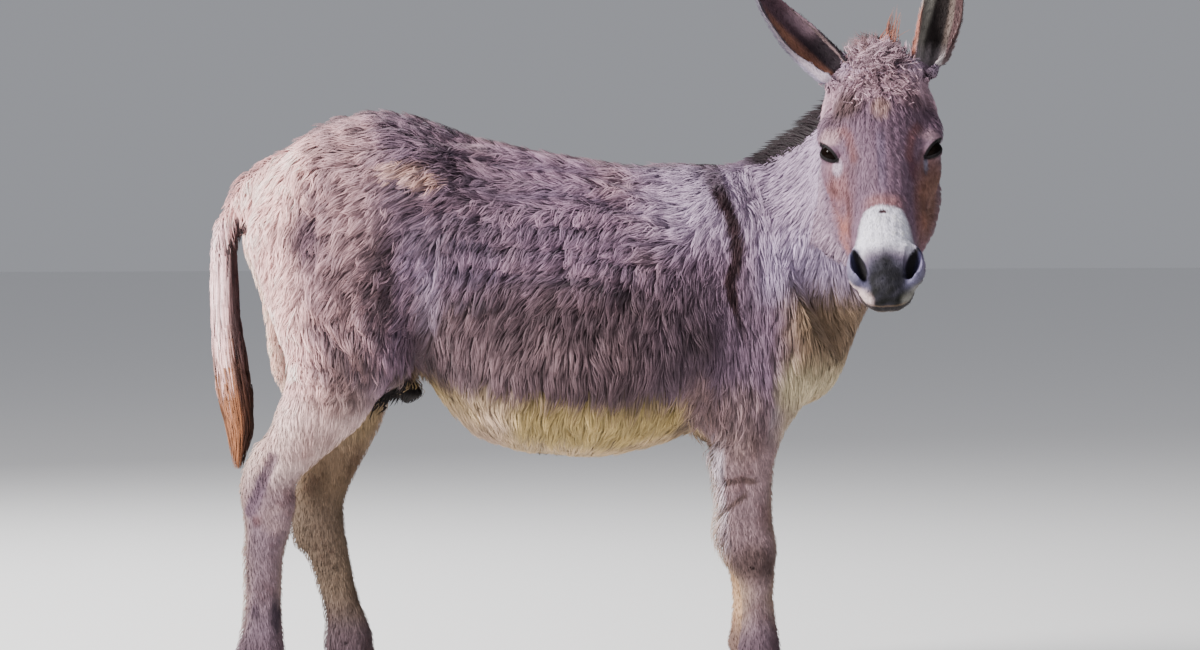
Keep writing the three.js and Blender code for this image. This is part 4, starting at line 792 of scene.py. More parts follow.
def ear_places(b, ear):
    """How far up an ear each body point is, how far across, from -1 to 1, and the way its hollow faces there."""
    root, tip, front = (np.array(ear[key], float) for key in ("root", "tip", "open"))
    axis = unit(tip - root)
    front = unit(front - axis * (front @ axis))
    along = (b - root) @ axis / np.linalg.norm(tip - root)
    turn = np.radians(ear["twist"]) * share(along, 0.25, 0.85)[:, None]
    open_way = front * np.cos(turn) + np.cross(axis, front) * np.sin(turn)
    side_way = np.cross(open_way, axis)
    across = np.einsum("ij,ij->i", b - root - along[:, None] * (tip - root), side_way)
    half = np.interp(along, [0, 0.2, 0.48, 0.72, 0.89, 1], [0.031, 0.038, 0.041, 0.035, 0.019, 0.004])
    return along, across / half, open_way, axis


# %% Markings of the ears
def right_ear(b, along, across, strands, back):
    """A grey back, and a hollow that is dark by the head, rusty in the middle and grey along its lower edge."""
    back = painted(back, ((142, 134, 154), share(along, 0.98, 0.85) * share(across, -0.3, 0.3)))
    back = back * (1.1 - 0.75 * share(along, 0.20, 0.45))[:, None]
    light = share(along, 0.36, 0.46) * share(along, 0.66, 0.56) * share(across, -0.2, -0.5)
    band = share(across - 0.25 * along, -0.20, 0.15) * share(along, 0.80, 0.50)
    hollow = painted(
        plain(b, 92, 68, 78),
        ((34, 24, 32), share(along, 0.62, 0.30) * share(across, 0.25, -0.15)),
        ((128, 104, 116), light * 0.7),
        ((180, 124, 96), band * (0.75 + 0.25 * strands)),
    )
    grey = tone(158, 144, 158) * (1.1 - 0.7 * share(along, 0.20, 0.45))[:, None]
    hollow = mixed(hollow, grey, share(across + 0.10 * strands, 0.48, 0.66))
    return back, hollow, share(across, -0.80, -0.95)


def left_ear(b, along, across, strands, back):
    """A hollow that is nearly black, with pale hairs over its right half and at its root."""
    back = painted(back, ((64, 46, 52), share(along, 0.30, 0.15) * share(across, 0.2, -0.2)))
    hollow = painted(
        plain(b, 30, 22, 22),
        ((156, 152, 144), share(across + 0.12 * strands, -0.05, 0.15) * (0.75 + 0.25 * strands)),
        ((112, 98, 92), share(across, -0.58, -0.75) * np.clip(0.55 + 0.6 * strands, 0, 1)),
        ((186, 176, 180), share(along, 0.32, 0.18) * np.clip(0.6 + 0.5 * strands, 0, 1)),
        ((184, 118, 102), share(across, 0.42, 0.62) * share(along, 0.60, 0.40)),
    )
    rim = share(np.abs(across), 0.88, 0.98)
    return back, hollow, np.where((across > 0) & (along < 0.5), 0.3 * rim, rim)


def ear_colour(b, n, name):
    along, across, open_way, _ = ear_places(b, ears[name])
    inner = share(np.einsum("ij,ij->i", n, open_way), 0.0, 0.3)
    strands = ripple(np.stack([0.04 * across, 0.05 * along, 0 * along], 1), 0.011, 27)
    back = painted(plain(b, 140, 118, 120), ((78, 60, 58), share(along, 0.72, 0.95)))
    ear = right_ear if name == "ear_right" else left_ear
    back, hollow, rim = ear(b, along, across, strands, back)
    return painted(mixed(back, hollow, inner), ((74, 48, 52), np.clip(rim, 0, 1) * inner * 0.8))


# %% One function for the whole coat
def tail_colour(b):
    """Pale mauve-grey above, chestnut below, and painted nearly black along the side next to the thighs,
    as the shade there.
    """
    x, z = b[:, 0], b[:, 2]
    middle = line_at(z, (0.484, -0.696), (0.56, -0.692), (0.70, -0.712), (0.82, -0.724), (0.97, -0.708), (1.02, -0.672))
    low = share(z + 0.05 * ripple(b * [1, 1, 0.15], 0.016, 17), 0.80, 0.60)
    # painted shade along the tail's side next to the thighs
    dark = share(x - middle + 0.004 * ripple(b, 0.05, 18), -0.001, 0.010) * share(z, 1.0, 0.94)
    return painted(
        plain(b, 250, 206, 208),
        ((150, 116, 122), 0.7 * share(ripple(b * [1, 1, 0.1], 0.010, 68), 0.1, 0.8)),
        ((124, 80, 54), low),
        ((32, 22, 26), dark * (0.95 - 0.20 * low)),
    )


def coat_colour(points, normals, region):
    b = points - origin
    colour = trunk_colour(b, normals[:, 2])
    low = b[:, 2] + 0.02 * ripple(b, 0.05, 19)
    into_leg = share(low, 0.66, 0.50) * np.where(belongs(region, "leg"), 1, share(np.abs(b[:, 0]), 0.16, 0.22))
    colour = mixed(colour, leg_colour(b), into_leg)
    h = to_head(points)
    onto_head = share(h[:, 0], -0.06, 0.03) * share(h[:, 0] - 0.5 * h[:, 2], -0.02, 0.08) * belongs(region, "head")
    colour = mixed(colour, head_colour(h), onto_head)
    for name in ears:
        mine = belongs(region, name)
        colour[mine] = ear_colour(b[mine], normals[mine], name)
    tail = belongs(region, "tail")
    colour[tail] = tail_colour(b[tail])
    colour[belongs(region, "sheath")] = tone(22, 17, 17)
    # painted shade: the far side of the body is duller and less blue
    far_side_shade = share(b[:, 1], 0.0, 0.15) * ~belongs(region, "head", "ear")
    colour = colour * (1 + far_side_shade[:, None] * [-0.02, 0.0, -0.16])
    return np.clip(colour, 0, 1)


skin_colour = coat_colour(points, normals, region)
print("mean coat colour", skin_colour.mean(0).round(3))

# %% [markdown]
# ## The lie of the coat
# Hair has a direction at every place. On a donkey it runs back from the withers and down the flanks, straight
# down the legs, from the forehead to the muzzle, and up the ears. Here the lie is a function like the colours,
# and each tuft asks it again at every step as it creeps over the skin, so a long tuft bends round the form. A
# slow ripple turns the lie a little either way, which gives the waves of a winter coat.


# %% Lie of the coat
def lie(points, normals, region):
    """The unit way the hair runs at each point, along the surface."""
    b = points - origin
    x, y, z = b.T
    top = share(z, 0.72, 1.06)
    way = np.stack([-0.16 - 0.9 * top, 0 * x, -1 + 0.45 * top], 1)
    fore = share(x, 0.10, 0.32)[:, None]
    way += fore * (np.array([0.05, 0.12, -1.0]) - way)
    neck = belongs(region, "neck")
    way[neck] = [-0.42, 0.30, -0.85]
    throat = share(x, 0.36, 0.46) * share(z, 1.02, 0.90)
    way += throat[:, None] * (np.array([0.25, 0.1, -1.0]) - way)
    rear = share(x, -0.48, -0.60)[:, None]
    way += rear * (np.array([-0.12, 0, -1.0]) - way)
    leg = belongs(region, "leg") | (z < 0.6)
    way[leg] = [-0.10, 0, -1.0]
    h = to_head(points)
    head = belongs(region, "head")
    folded = np.sign(h[:, 1]) * share(np.abs(h[:, 1]), 0.0, 0.05)
    cheek = share(h[:, 2], -0.05, -0.12)
    local = np.stack([1.0 - 0.75 * cheek, 0.35 * folded, -0.35 - 0.9 * cheek], 1)
    out = unit(h - [0.002, -0.014, -0.01]) * [1, 1, 0.3]
    whorl = out + np.stack([-out[:, 1], out[:, 0], 0 * x], 1) * 1.2
    local += share(np.hypot(h[:, 0], h[:, 1] + 0.014), 0.075, 0.035)[:, None] * (whorl - local)
    way[head] = (local @ head_turn.T)[head]
    for name in ears:
        mine = belongs(region, name)
        _, across, _, axis = ear_places(b[mine], ears[name])
        way[mine] = axis
    swing = 0.55 * ripple(points, 0.13, 31) * share(x, 0.22, 0.0) * share(z, 0.60, 0.75)
    turned = swing + 0.25 * ripple(points, 0.07, 32)
    turned = np.where(head | belongs(region, "ear"), 0.15 * ripple(points, 0.04, 33), turned)
    way = unit(way - normals * np.einsum("ij,ij->i", way, normals)[:, None])
    return unit(way * np.cos(turned)[:, None] + np.cross(normals, way) * np.sin(turned)[:, None])


print("mean lie on the skin", lie(points, normals, region).mean(0).round(2))

# %% [markdown]
# ## An unwrap for the coat's colours
# When the finished model is exported, its colours are baked into an image, and for that every tuft needs its own
# small patch. The patches lie where their roots lie on a flat unwrap of the skin, so that neighbours on the body
# are neighbours on the image. A lighter copy of the skin is unwrapped by Smart UV Project, and each root looks up
# its place on it.

# %% Unwrap a light copy of the skin
only(skin)
bpy.ops.object.duplicate()
light = bpy.context.object
thin = light.modifiers.new("Thin", "DECIMATE")
thin.ratio = 0.1
bpy.ops.object.modifier_apply(modifier=thin.name)
bpy.ops.object.mode_set(mode="EDIT")
bpy.ops.mesh.select_all(action="SELECT")
bpy.ops.uv.smart_project(angle_limit=math.radians(66), island_margin=0.004)
bpy.ops.object.mode_set(mode="OBJECT")
light_points, _, light_triangles = arrays(light.data)
light_uv = np.empty(len(light.data.loops) * 2)
light.data.uv_layers.active.data.foreach_get("uv", light_uv)
corners = np.empty(len(light.data.loop_triangles) * 3, np.int32)
light.data.loop_triangles.foreach_get("loops", corners)
light_uv = light_uv.reshape(-1, 2)[corners.reshape(-1, 3)]
light_tree = BVHTree.FromPolygons(light_points.tolist(), light_triangles.tolist())
bpy.data.objects.remove(light)
print("unwrapped", len(light_triangles), "triangles")


def unwrap_place(points):
    """Where points on the skin lie on the flat unwrap, from 0 to 1 each way."""
    found = [light_tree.find_nearest(p) for p in points.tolist()]
    at = np.array([f[0] for f in found])
    face = np.array([f[2] for f in found])
    a, b, c = (light_points[light_triangles[face, k]] for k in range(3))
    whole = np.cross(b - a, c - a)
    size = np.maximum((whole**2).sum(1), 1e-18)
    weights = [np.einsum("ij,ij->i", np.cross(q - p, at - p), whole) / size for p, q in ((b, c), (c, a), (a, b))]
    weights = np.clip(np.stack(weights, 1), 0, 1)
    weights /= weights.sum(1, keepdims=True)
    return np.clip(np.einsum("ij,ijk->ik", weights, light_uv[face]), 0.002, 0.998)


# %% [markdown]
# ## One tuft, and many
# A tuft is a thin blade with three sides that narrows to a point: rings of three corners, a tip and a closed root,
# which is about a dozen faces in the coat and more in long hair. Hair curves would look finer, but they don't
# survive the export, while solid blades do. All the tufts of a piece are worked out at once as arrays. Their
# roots are spread evenly over the skin, they creep along the lie while they rise from it, and neighbours lean
# together into clumps that share one wave, as real hair does.

# %% Roots on the skin
skin_tree = BVHTree.FromPolygons(points.tolist(), triangles.tolist())
corner_points = points[triangles]
face_area = np.linalg.norm(
    np.cross(corner_points[:, 1] - corner_points[:, 0], corner_points[:, 2] - corner_points[:, 0]), axis=1
) / 2
face_middle = corner_points.mean(1)
face_normal = unit(normals[triangles].mean(1))
face_region = region[triangles[:, 0]]


def scatter(per_area, seed):
    """Roots for tufts: points on the skin, as many to the square metre as `per_area` says for each triangle."""
    draw = np.random.default_rng(seed)
    order = np.lexsort((np.round(face_middle[:, 0] / 0.01), np.round(face_middle[:, 2] / 0.01)))
    total = np.cumsum((per_area * face_area)[order])
    picks = order[np.searchsorted(total, np.arange(draw.uniform(), total[-1], 1.0))]
    s, t = draw.uniform(size=(2, len(picks)))
    flip = s + t > 1
    s[flip], t[flip] = 1 - s[flip], 1 - t[flip]
    c, n = corner_points[picks], normals[triangles[picks]]
    weights = np.stack([1 - s - t, s, t], 1)[:, :, None]
    return (c * weights).sum(1), unit((n * weights).sum(1)), face_region[picks]


def on_skin(points):
    """The nearest place on the skin to each point, and its normal there."""
    found = [skin_tree.find_nearest(p) for p in points.tolist()]
    faces = np.array([f[2] for f in found])
    return np.array([f[0] for f in found]), unit(normals[triangles[faces]].mean(1)), face_region[faces]


print("skin area", round(face_area.sum(), 2), "square metres")


# %% Paths of the tufts
def creep(roots, root_normals, region, length, lift, steps):
    """Each tuft's path: `steps` points along the lie from its root, rising to `lift` above the skin."""
    path, ups = [roots], [root_normals]
    at, normal, where = roots, root_normals, region
    for k in range(1, steps):
        ahead = at + lie(at, normal, where) * (length / (steps - 1))[:, None]
        at, new_normal, _ = on_skin(ahead)
        turned_over = np.einsum("ij,ij->i", new_normal, normal) < 0.2
        at = np.where(turned_over[:, None], path[-1] + (ahead - path[-1]) * 0.25, at)
        normal = np.where(turned_over[:, None], normal, new_normal)
        rise = lift * (1 - (1 - k / (steps - 1)) ** 2)
        path.append(at + normal * rise[:, None])
        ups.append(normal)
    return np.stack(path, 1), np.stack(ups, 1)


def clumped(path, ups, spacing, pull, wave, seed, rise=0.0):
    """Lean neighbouring tufts together towards one of them, in one shared wave, and lift their ends by `rise`.
    Also gives how far each point is off its clump's middle, which rounds the clump's shading."""
    draw = np.random.default_rng(seed)
    roots = path[:, 0]
    cell = np.floor(roots / spacing + draw.uniform(size=3)).astype(int)
    _, leaders = np.unique(cell, axis=0, return_index=True)
    tree = KDTree(len(leaders))
    for i, leader in enumerate(leaders.tolist()):
        tree.insert(roots[leader], i)
    tree.balance()
    found = [tree.find(p) for p in roots.tolist()]
    mine = np.array([f[1] for f in found])
    away = np.array([f[2] for f in found]) / spacing
    along = np.linspace(0, 1, path.shape[1])[None, :, None]
    led = path[leaders][mine]
    off = (path - led) / (0.6 * spacing)
    path = path + (led - path) * along**1.4 * pull * share(away, 1.6, 0.6)[:, None, None]
    phase = draw.uniform(0, 6.28, len(leaders))[mine][:, None, None]
    size = draw.uniform(0.5, 1.3, len(leaders))[mine][:, None, None]
    ahead = unit(path[:, -1] - path[:, 0])[:, None]
    side = np.cross(ups, ahead)
    path = path + side * wave * along * np.sin(phase + 4.6 * along) + ups * rise * size * along**1.5
    return path, off, away, draw.uniform(-1, 1, len(leaders))[mine]


def blades(name, path, ups, width, colour, material, root_shade_tip_light=0.25, soft_ups=None):
    """One mesh of all these tufts. Colours go on its points, and each tuft has its own small patch in OFBake.
    Its normals lean on those of the skin, or on `soft_ups`, so that light falls on the coat as a whole."""
    count, steps = path.shape[:2]
    forward = np.gradient(path, axis=1)
    side = unit(np.cross(ups, forward))
    over = unit(np.cross(forward, side))
    along = np.linspace(0, 1, steps)
    narrow = (1 - along[:-1] ** 1.6)[None, :, None] * width[:, None, None] / 2
    left = path[:, :-1] + side[:, :-1] * narrow
    right = path[:, :-1] - side[:, :-1] * narrow
    ridge = path[:, :-1] + over[:, :-1] * narrow * 0.9
    rings = np.stack([left, right, ridge], 2).reshape(count, -1, 3)
    vertices = np.concatenate([rings, path[:, -1:]], 1)
    size = vertices.shape[1]
    faces = [(0, 1, 2)]
    for r in range(steps - 2):
        for i, j in ((0, 2), (2, 1), (1, 0)):
            a, b = 3 * r + i, 3 * r + j
            faces += [(a, b, b + 3), (a, b + 3, a + 3)]
    last = 3 * (steps - 2)
    faces += [(last + i, last + j, size - 1) for i, j in ((0, 2), (2, 1), (1, 0))]
    faces = np.array(faces)
    every = (faces[None] + size * np.arange(count)[:, None, None]).reshape(-1, 3)
    mesh = bpy.data.meshes.new(name)
    mesh.vertices.add(count * size)
    mesh.vertices.foreach_set("co", vertices.ravel())
    mesh.loops.add(every.size)
    mesh.loops.foreach_set("vertex_index", every.ravel().astype(np.int32))
    mesh.polygons.add(len(every))
    mesh.polygons.foreach_set("loop_start", np.arange(0, every.size, 3, dtype=np.int32))
    mesh.update(calc_edges=True)
    share_along = np.repeat(along[:-1], 3).tolist() + [1.0]
    # painted light and shade along each tuft: darker at the root, where neighbours shade it, lighter and warmer at the
    # tip
    light = 1 + np.outer(root_shade_tip_light * (np.array(share_along) - 0.35), [1.15, 1.0, 0.9])
    shade = np.ones((count, size, 4))
    shade[:, :, :3] = np.clip(colour[:, None] * light[None], 0, 1)
    lit = ups if soft_ups is None else soft_ups
    soft = np.stack([lit[:, :-1] + 0.6 * side[:, :-1], lit[:, :-1] - 0.6 * side[:, :-1], lit[:, :-1]], 2)
    soft = np.concatenate([soft.reshape(count, -1, 3), lit[:, -1:]], 1)
    mesh.attributes.new("custom_normal", "FLOAT_VECTOR", "POINT").data.foreach_set("vector", unit(soft).ravel())
    mesh.color_attributes.new("coat", "FLOAT_COLOR", "POINT").data.foreach_set("color", shade.ravel())
    patch = np.zeros((size, 2))
    patch[:-1, 0] = np.tile([-0.0012, 0.0012, 0], steps - 1)
    patch[:, 1] = (np.array(share_along) - 0.5) * 0.0028
    uv = (unwrap_place(path[:, 0])[:, None] + patch[None]).reshape(-1, 2)
    mesh.uv_layers.new(name="OFBake").data.foreach_set("uv", uv[every.ravel()].ravel())
    tufts = bpy.data.objects.new(name, mesh)
    bpy.context.scene.collection.objects.link(tufts)
    mesh.materials.append(material)
    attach(tufts, "root")
    print(f"{name}: {count} tufts, {len(every)} triangles")
    return tufts


# %% [markdown]
# ## Finishes
# Hair has no single colour even within a lock. One node group, `hair tint`, takes the colour from the markings
# and breaks it up twice, in soft patches and in hair-fine streaks, and also gives the streaks as a height for a
# bump. The skin between the tufts, the coat and the long hair all use it with their own values, and each keeps
# its own shader.


# %% The hair tint group
def hair_tint_group():
    group = bpy.data.node_groups.new("hair tint", "ShaderNodeTree")
    face = group.interface
    face.new_socket("Colour", in_out="INPUT", socket_type="NodeSocketColor")
    for label, value in (("Streaks", 300.0), ("Streak contrast", 0.3), ("Patches", 30.0), ("Patch contrast", 0.2)):
        face.new_socket(label, in_out="INPUT", socket_type="NodeSocketFloat").default_value = value
    face.new_socket("Colour", in_out="OUTPUT", socket_type="NodeSocketColor")
    face.new_socket("Height", in_out="OUTPUT", socket_type="NodeSocketFloat")
    add, link = group.nodes.new, group.links.new
    given, out = add("NodeGroupInput"), add("NodeGroupOutput")
    place, stretch = add("ShaderNodeTexCoord"), add("ShaderNodeMapping")
    stretch.inputs["Scale"].default_value = (1, 1, 0.3)
    link(place.outputs["Object"], stretch.inputs["Vector"])
    colour = given.outputs["Colour"]
    for kind in ("Streak", "Patch"):
        noise, ramp, mix = add("ShaderNodeTexNoise"), add("ShaderNodeMapRange"), add("ShaderNodeMix")
        noise.inputs["Detail"].default_value = 2
        link(stretch.outputs["Vector"] if kind == "Streak" else place.outputs["Object"], noise.inputs["Vector"])
        link(given.outputs["Streaks" if kind == "Streak" else "Patches"], noise.inputs["Scale"])
        ramp.inputs["From Min"].default_value, ramp.inputs["From Max"].default_value = 0.3, 0.7
        ramp.inputs["To Min"].default_value, ramp.inputs["To Max"].default_value = 0.35, 1.25
        link(noise.outputs["Fac"], ramp.inputs["Value"])
        mix.data_type, mix.blend_type = "RGBA", "MULTIPLY"
        link(given.outputs[kind + " contrast"], mix.inputs["Factor"])
        link(colour, mix.inputs["A"])
        link(ramp.outputs["Result"], mix.inputs["B"])
        colour = mix.outputs["Result"]
        if kind == "Streak":
            link(noise.outputs["Fac"], out.inputs["Height"])
    link(colour, out.inputs["Colour"])
    return group


hair_tint = hair_tint_group()
print("group with", len(hair_tint.nodes), "nodes")


# %% Materials with the tint
def new_material(name, roughness):
    """A material, its shader, its nodes and the function that links them."""
    material = bpy.data.materials.new(name)
    material.use_nodes = True
    nodes, link = material.node_tree.nodes, material.node_tree.links.new
    shader = nodes["Principled BSDF"]
    shader.inputs["Roughness"].default_value = roughness
    return material, shader, nodes, link


def hair_material(name, streaks, streak_contrast, patches, patch_contrast, roughness, bump, sheen=0.0):
    material, shader, nodes, link = new_material(name, roughness)
    shader.inputs["Specular IOR Level"].default_value = 0.25
    shader.inputs["Sheen Weight"].default_value = sheen
    shader.inputs["Sheen Roughness"].default_value = 0.6
    marks, tint, relief = nodes.new("ShaderNodeAttribute"), nodes.new("ShaderNodeGroup"), nodes.new("ShaderNodeBump")
    marks.attribute_name = "coat"
    tint.node_tree = hair_tint
    link(marks.outputs["Color"], tint.inputs["Colour"])
    for label, value in (
        ("Streaks", streaks), ("Streak contrast", streak_contrast),
        ("Patches", patches), ("Patch contrast", patch_contrast),
    ):
        tint.inputs[label].default_value = value
    link(tint.outputs["Colour"], shader.inputs["Base Color"])
    relief.inputs["Strength"].default_value, relief.inputs["Distance"].default_value = bump, 0.002
    link(tint.outputs["Height"], relief.inputs["Height"])
    link(relief.outputs["Normal"], shader.inputs["Normal"])
    return material


winter_coat = hair_material("winter coat", 330, 0.35, 22, 0.25, 0.72, 0.3, sheen=0.05)
short_coat = hair_material("short coat", 520, 0.3, 40, 0.2, 0.68, 0.25)
long_hair = hair_material("long hair", 700, 0.45, 60, 0.3, 0.55, 0.3)
hide = hair_material("hide under the coat", 420, 0.45, 40, 0.25, 0.75, 0.5)
skin.data.materials.append(hide)
# painted shade: the skin between the tufts is darker than the coat, most on the trunk, as the shade in the gaps
shade = np.ones((len(points), 4))
shade[:, :3] = skin_colour * np.where(belongs(region, "head", "ear", "leg", "sheath"), 0.95, 0.85)[:, None]
skin.data.color_attributes.new("coat", "FLOAT_COLOR", "POINT").data.foreach_set("color", shade.ravel())
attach(skin, "root")
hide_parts(*flesh)
print("skin replaces", len(flesh), "solids")

# %% [markdown]
# ## The coat of the trunk
# The trunk carries the longest coat, about four to five centimetres in wavy clumps over the back, croup and
# flank, straighter and finer on the shoulder and neck, and short and smooth behind the rump. Length, rise and
# width are again functions of place, so that one kind of hair passes into the next with no border.


# %% How long, high and wide the coat is
def coat_sizes(points, region, normals):
    b = points - origin
    x, z = b[:, 0], b[:, 2]
    legs = belongs(region, "leg")
    length = np.full(len(b), 0.040)
    shaggy = share(x, 0.22, 0.05)
    length = length + 0.010 * shaggy
    rump = share(x, -0.50, -0.62) * share(z, 1.08, 1.0)
    length = length + rump * (0.026 - length)
    thigh = share(z, 0.74, 0.62) * share(x, -0.30, -0.42)
    length = length + thigh * (0.022 - length)
    upper_leg = np.where(x < 0, share(z, 0.64, 0.42), share(z, 0.70, 0.48))
    length = length + upper_leg * (0.011 - length) * np.where(legs, 1, share(np.abs(x), 0.14, 0.22))
    feather = np.maximum(feathering(b, -normals[:, 0], legs), 0)
    length = np.where(legs & (z < 0.095), 0.016, length) + 0.016 * feather
    length = np.where(belongs(region, "tail"), 0.034, length)
    length = np.where(belongs(region, "sheath"), 0.014, length)
    cross = share(np.abs(x - 0.23), 0.06, 0.02) * share(z, 0.70, 0.80)
    length = length * (1 - 0.45 * cross)
    return length, (0.26 + 0.30 * feather) * length, 0.0015 + 0.034 * length


most_triangles = 195_000  # in one piece of the coat


def lay_coat(name, per_area, seed, steps, material, sizes, clumps, jitter=0.10, root_shade_tip_light=0.25, round_off=0.5):
    """Tufts over the skin where `per_area` isn't 0, in pieces small enough for the export."""
    roots, root_normals, where = scatter(per_area, seed)
    draw = np.random.default_rng(seed + 1)
    length, lift, width = sizes(roots, where, root_normals)
    length = length * draw.uniform(0.75, 1.2, len(roots))
    lift = lift * draw.uniform(0.5, 1.4, len(roots))
    path, ups = creep(roots - root_normals * 0.001, root_normals, where, length, lift, steps)
    colour = coat_colour(path[:, steps // 2], ups[:, 1], where)
    # painted light and shade: the crests of the coat's waves lighter and warmer, its hollows darker
    colour = colour * (1 + clump_relief(roots - origin)[:, None] * [0.38, 0.35, 0.30])
    soft = ups
    for spacing, pull, wave, contrast, rise in clumps:
        path, off, away, own = clumped(path, ups, spacing, pull, wave, seed + int(spacing * 1e4), rise)
        # painted shade between clumps: tufts far from their clump's middle are darker; `own` gives each clump a random
        # tone
        colour = colour * np.clip(1 + contrast * (0.5 - away + 0.7 * own), 0.3, 1.8)[:, None]
        soft = soft + round_off * np.clip(off, -1.2, 1.2)
    colour = colour * draw.normal(1, jitter, (len(roots), 1))
    most = most_triangles // (6 * (steps - 2) + 4)
    parts = -(-len(roots) // most)
    order = np.array_split(np.argsort(roots[:, 0] + 0.3 * roots[:, 2]), parts)
    return [
        blades(f"{name}_{i + 1}", path[o], ups[o], width[o], colour[o], material, root_shade_tip_light, unit(soft[o]))
        for i, o in enumerate(order)
    ]


# %% Lay the trunk's coat
face_body = face_middle - origin
face_x, face_y, face_z = face_body.T
face_on = {name: belongs(face_region, name) for name in ("torso", "neck", "leg", "head", "ear", "tail", "sheath")}
wavy = share(face_x, 0.24, 0.12) * face_on["torso"]
straight = np.where(face_on["torso"] | face_on["neck"], 1 - wavy, 0)
quick = 1.0
coat = lay_coat(
    "coat_back", 38_000 * wavy * quick, 41, 3, winter_coat, coat_sizes,
    [(0.036, 0.45, 0.0050, 0.22, 0.003), (0.014, 0.40, 0.0015, 0.12, 0)], jitter=0.07, root_shade_tip_light=0.4,
)
backs = wavy * share(face_z, 0.74, 0.84) * share(face_x, 0.16, 0.06) * share(face_x, -0.62, -0.52)
thighs = wavy * share(face_x, -0.32, -0.38) * share(face_z, 0.64, 0.72) * share(face_x, -0.62, -0.54)
elbows = spot(face_body * [1, 0, 1], [0.180, 0, 0.620], [0.060, 1, 0.070])
elbows = elbows * share(np.abs(face_y), 0.08, 0.12) * face_on["torso"]
locky = np.maximum(np.maximum(backs, thighs), elbows)


def lock_sizes(points, region, normals):
    length = np.full(len(points), 0.042)
    return length, 0.22 * length, np.full(len(points), 0.0030)


coat += lay_coat(
    "coat_locks", 13_000 * locky * quick, 46, 4, winter_coat, lock_sizes,
    [(0.030, 0.72, 0.0080, 0.30, 0.009)], root_shade_tip_light=0.9, round_off=0.8,
)
coat += lay_coat(
    "coat_fore", 46_000 * straight * quick, 42, 3, winter_coat, coat_sizes,
    [(0.024, 0.40, 0.002, 0.16, 0.001), (0.010, 0.3, 0.001, 0.10, 0)],
)

# %% [markdown]
# ## Short hair on the legs, tail and sheath
# Below the knee and the hock the coat is only a centimetre long and lies flat, so most of it is relief in the
# skin's finish, with small tufts that break the outline. They grow longer again over the hoof.

# %% Lay the short coat
below = face_on["leg"] | face_on["tail"] | face_on["sheath"]
coat += lay_coat(
    "coat_legs", 30_000 * below * quick, 43, 3, short_coat, coat_sizes,
    [(0.014, 0.35, 0.0008, 0.2, 0)], root_shade_tip_light=0.3,
)


# %% [markdown]
# ## The face
# The face has the finest hair: under half a centimetre at the muzzle, a centimetre on the cheeks, and longest on
# the forehead and under the jaw. None grows in the nostrils or on the lids.


# %% Lay the face's coat
def face_sizes(points, region, normals):
    h = to_head(points)
    x, y, z = h.T
    length = 0.0045 + 0.0065 * share(x, 0.40, 0.26) + 0.016 * share(x, 0.17, 0.06) * share(z, -0.09, -0.02)
    throat = 0.020 * share(z, -0.12, -0.18) * share(x, 0.42, 0.34)
    length = length + throat
    length = length - throat * share(y, -0.02, 0.05)
    length = length * (1 - 0.6 * spot(h, [0.022, 0.110, -0.020], [0.040, 0.040, 0.04]))
    for place in eye_places:
        near = share(np.linalg.norm(h - place, axis=1), 0.045, 0.025)
        length = length * (1 - 0.65 * near)
    return length, 0.28 * length, 0.0010 + 0.045 * length


face_head = to_head(face_middle)
bare = np.zeros(len(face_head), bool)
for place in eye_places:
    bare |= np.linalg.norm(face_head - place, axis=1) < lid_reach
nose_hole = np.stack(
    [(face_head[:, 0] - 0.411) / 0.026, (np.abs(face_head[:, 1]) - 0.047) / 0.018, (face_head[:, 2] + 0.031) / 0.020], 1
)
bare |= np.linalg.norm(nose_hole, axis=1) < 1.1
coat += lay_coat(
    "coat_face", 60_000 * (face_on["head"] & ~bare) * quick, 44, 3, short_coat, face_sizes,
    [(0.014, 0.45, 0.002, 0.25, 0)], jitter=0.09, root_shade_tip_light=0.3,
)


# %% Lay the ears' coat
def ear_sizes(points, region, normals):
    length = np.full(len(points), 0.010)
    return length, 0.25 * length, np.full(len(points), 0.0017)


coat += lay_coat(
    "coat_ears", 40_000 * face_on["ear"] * quick, 45, 3, short_coat, ear_sizes,
    [(0.010, 0.3, 0.001, 0.15, 0)], jitter=0.1, root_shade_tip_light=0.2,
)

# %% [markdown]
# ## Eyes
# A donkey's eye is large, dark and wet, and its pupil hardly shows. It sits behind lids that the skin already
# has, so only the ball is made, a plain sphere. The gloss is a thin clear coat over a brown that is nearly black.


# %% Eye material
def eye_material():
    material, shader, nodes, link = new_material("wet eye", 0.25)
    shader.inputs["Specular IOR Level"].default_value = 0.0
    shader.inputs["Coat Weight"].default_value = 0.06
    shader.inputs["Coat Roughness"].default_value = 0.08
    place, noise, ramp = (nodes.new("ShaderNode" + kind) for kind in ("TexCoord", "TexNoise", "ValToRGB"))
    noise.inputs["Scale"].default_value = 90
    link(place.outputs["Object"], noise.inputs["Vector"])
    link(noise.outputs["Fac"], ramp.inputs["Fac"])
    ramp.color_ramp.elements[0].color = (*tone(6, 4, 4), 1)
    ramp.color_ramp.elements[1].color = (*tone(18, 11, 8), 1)
    link(ramp.outputs["Color"], shader.inputs["Base Color"])
    return material


# %% Eyes
wet_eye = eye_material()
for name, place in zip(("eye_right", "eye_left"), eye_places):
    centre = Vector(from_head(place))
    bpy.ops.mesh.primitive_uv_sphere_add(segments=48, ring_count=32, radius=eye_radius, location=centre)
    eye = bpy.context.object
    eye.name = name + "_ball"
    bpy.ops.object.transform_apply(location=True, rotation=True, scale=True)
    bpy.ops.object.shade_smooth()
    eye.data.materials.append(wet_eye)
    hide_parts(name)
    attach(eye, "root")
print("eyes at", np.round(from_head(eye_places), 3).tolist())

# %% [markdown]
# ## Hooves
# The hoof is horn that grows down from the coronet in faint rings. The solid has the right shape, so a copy of it
# only has its edges rounded by a bevel, and the rings are relief in its finish.


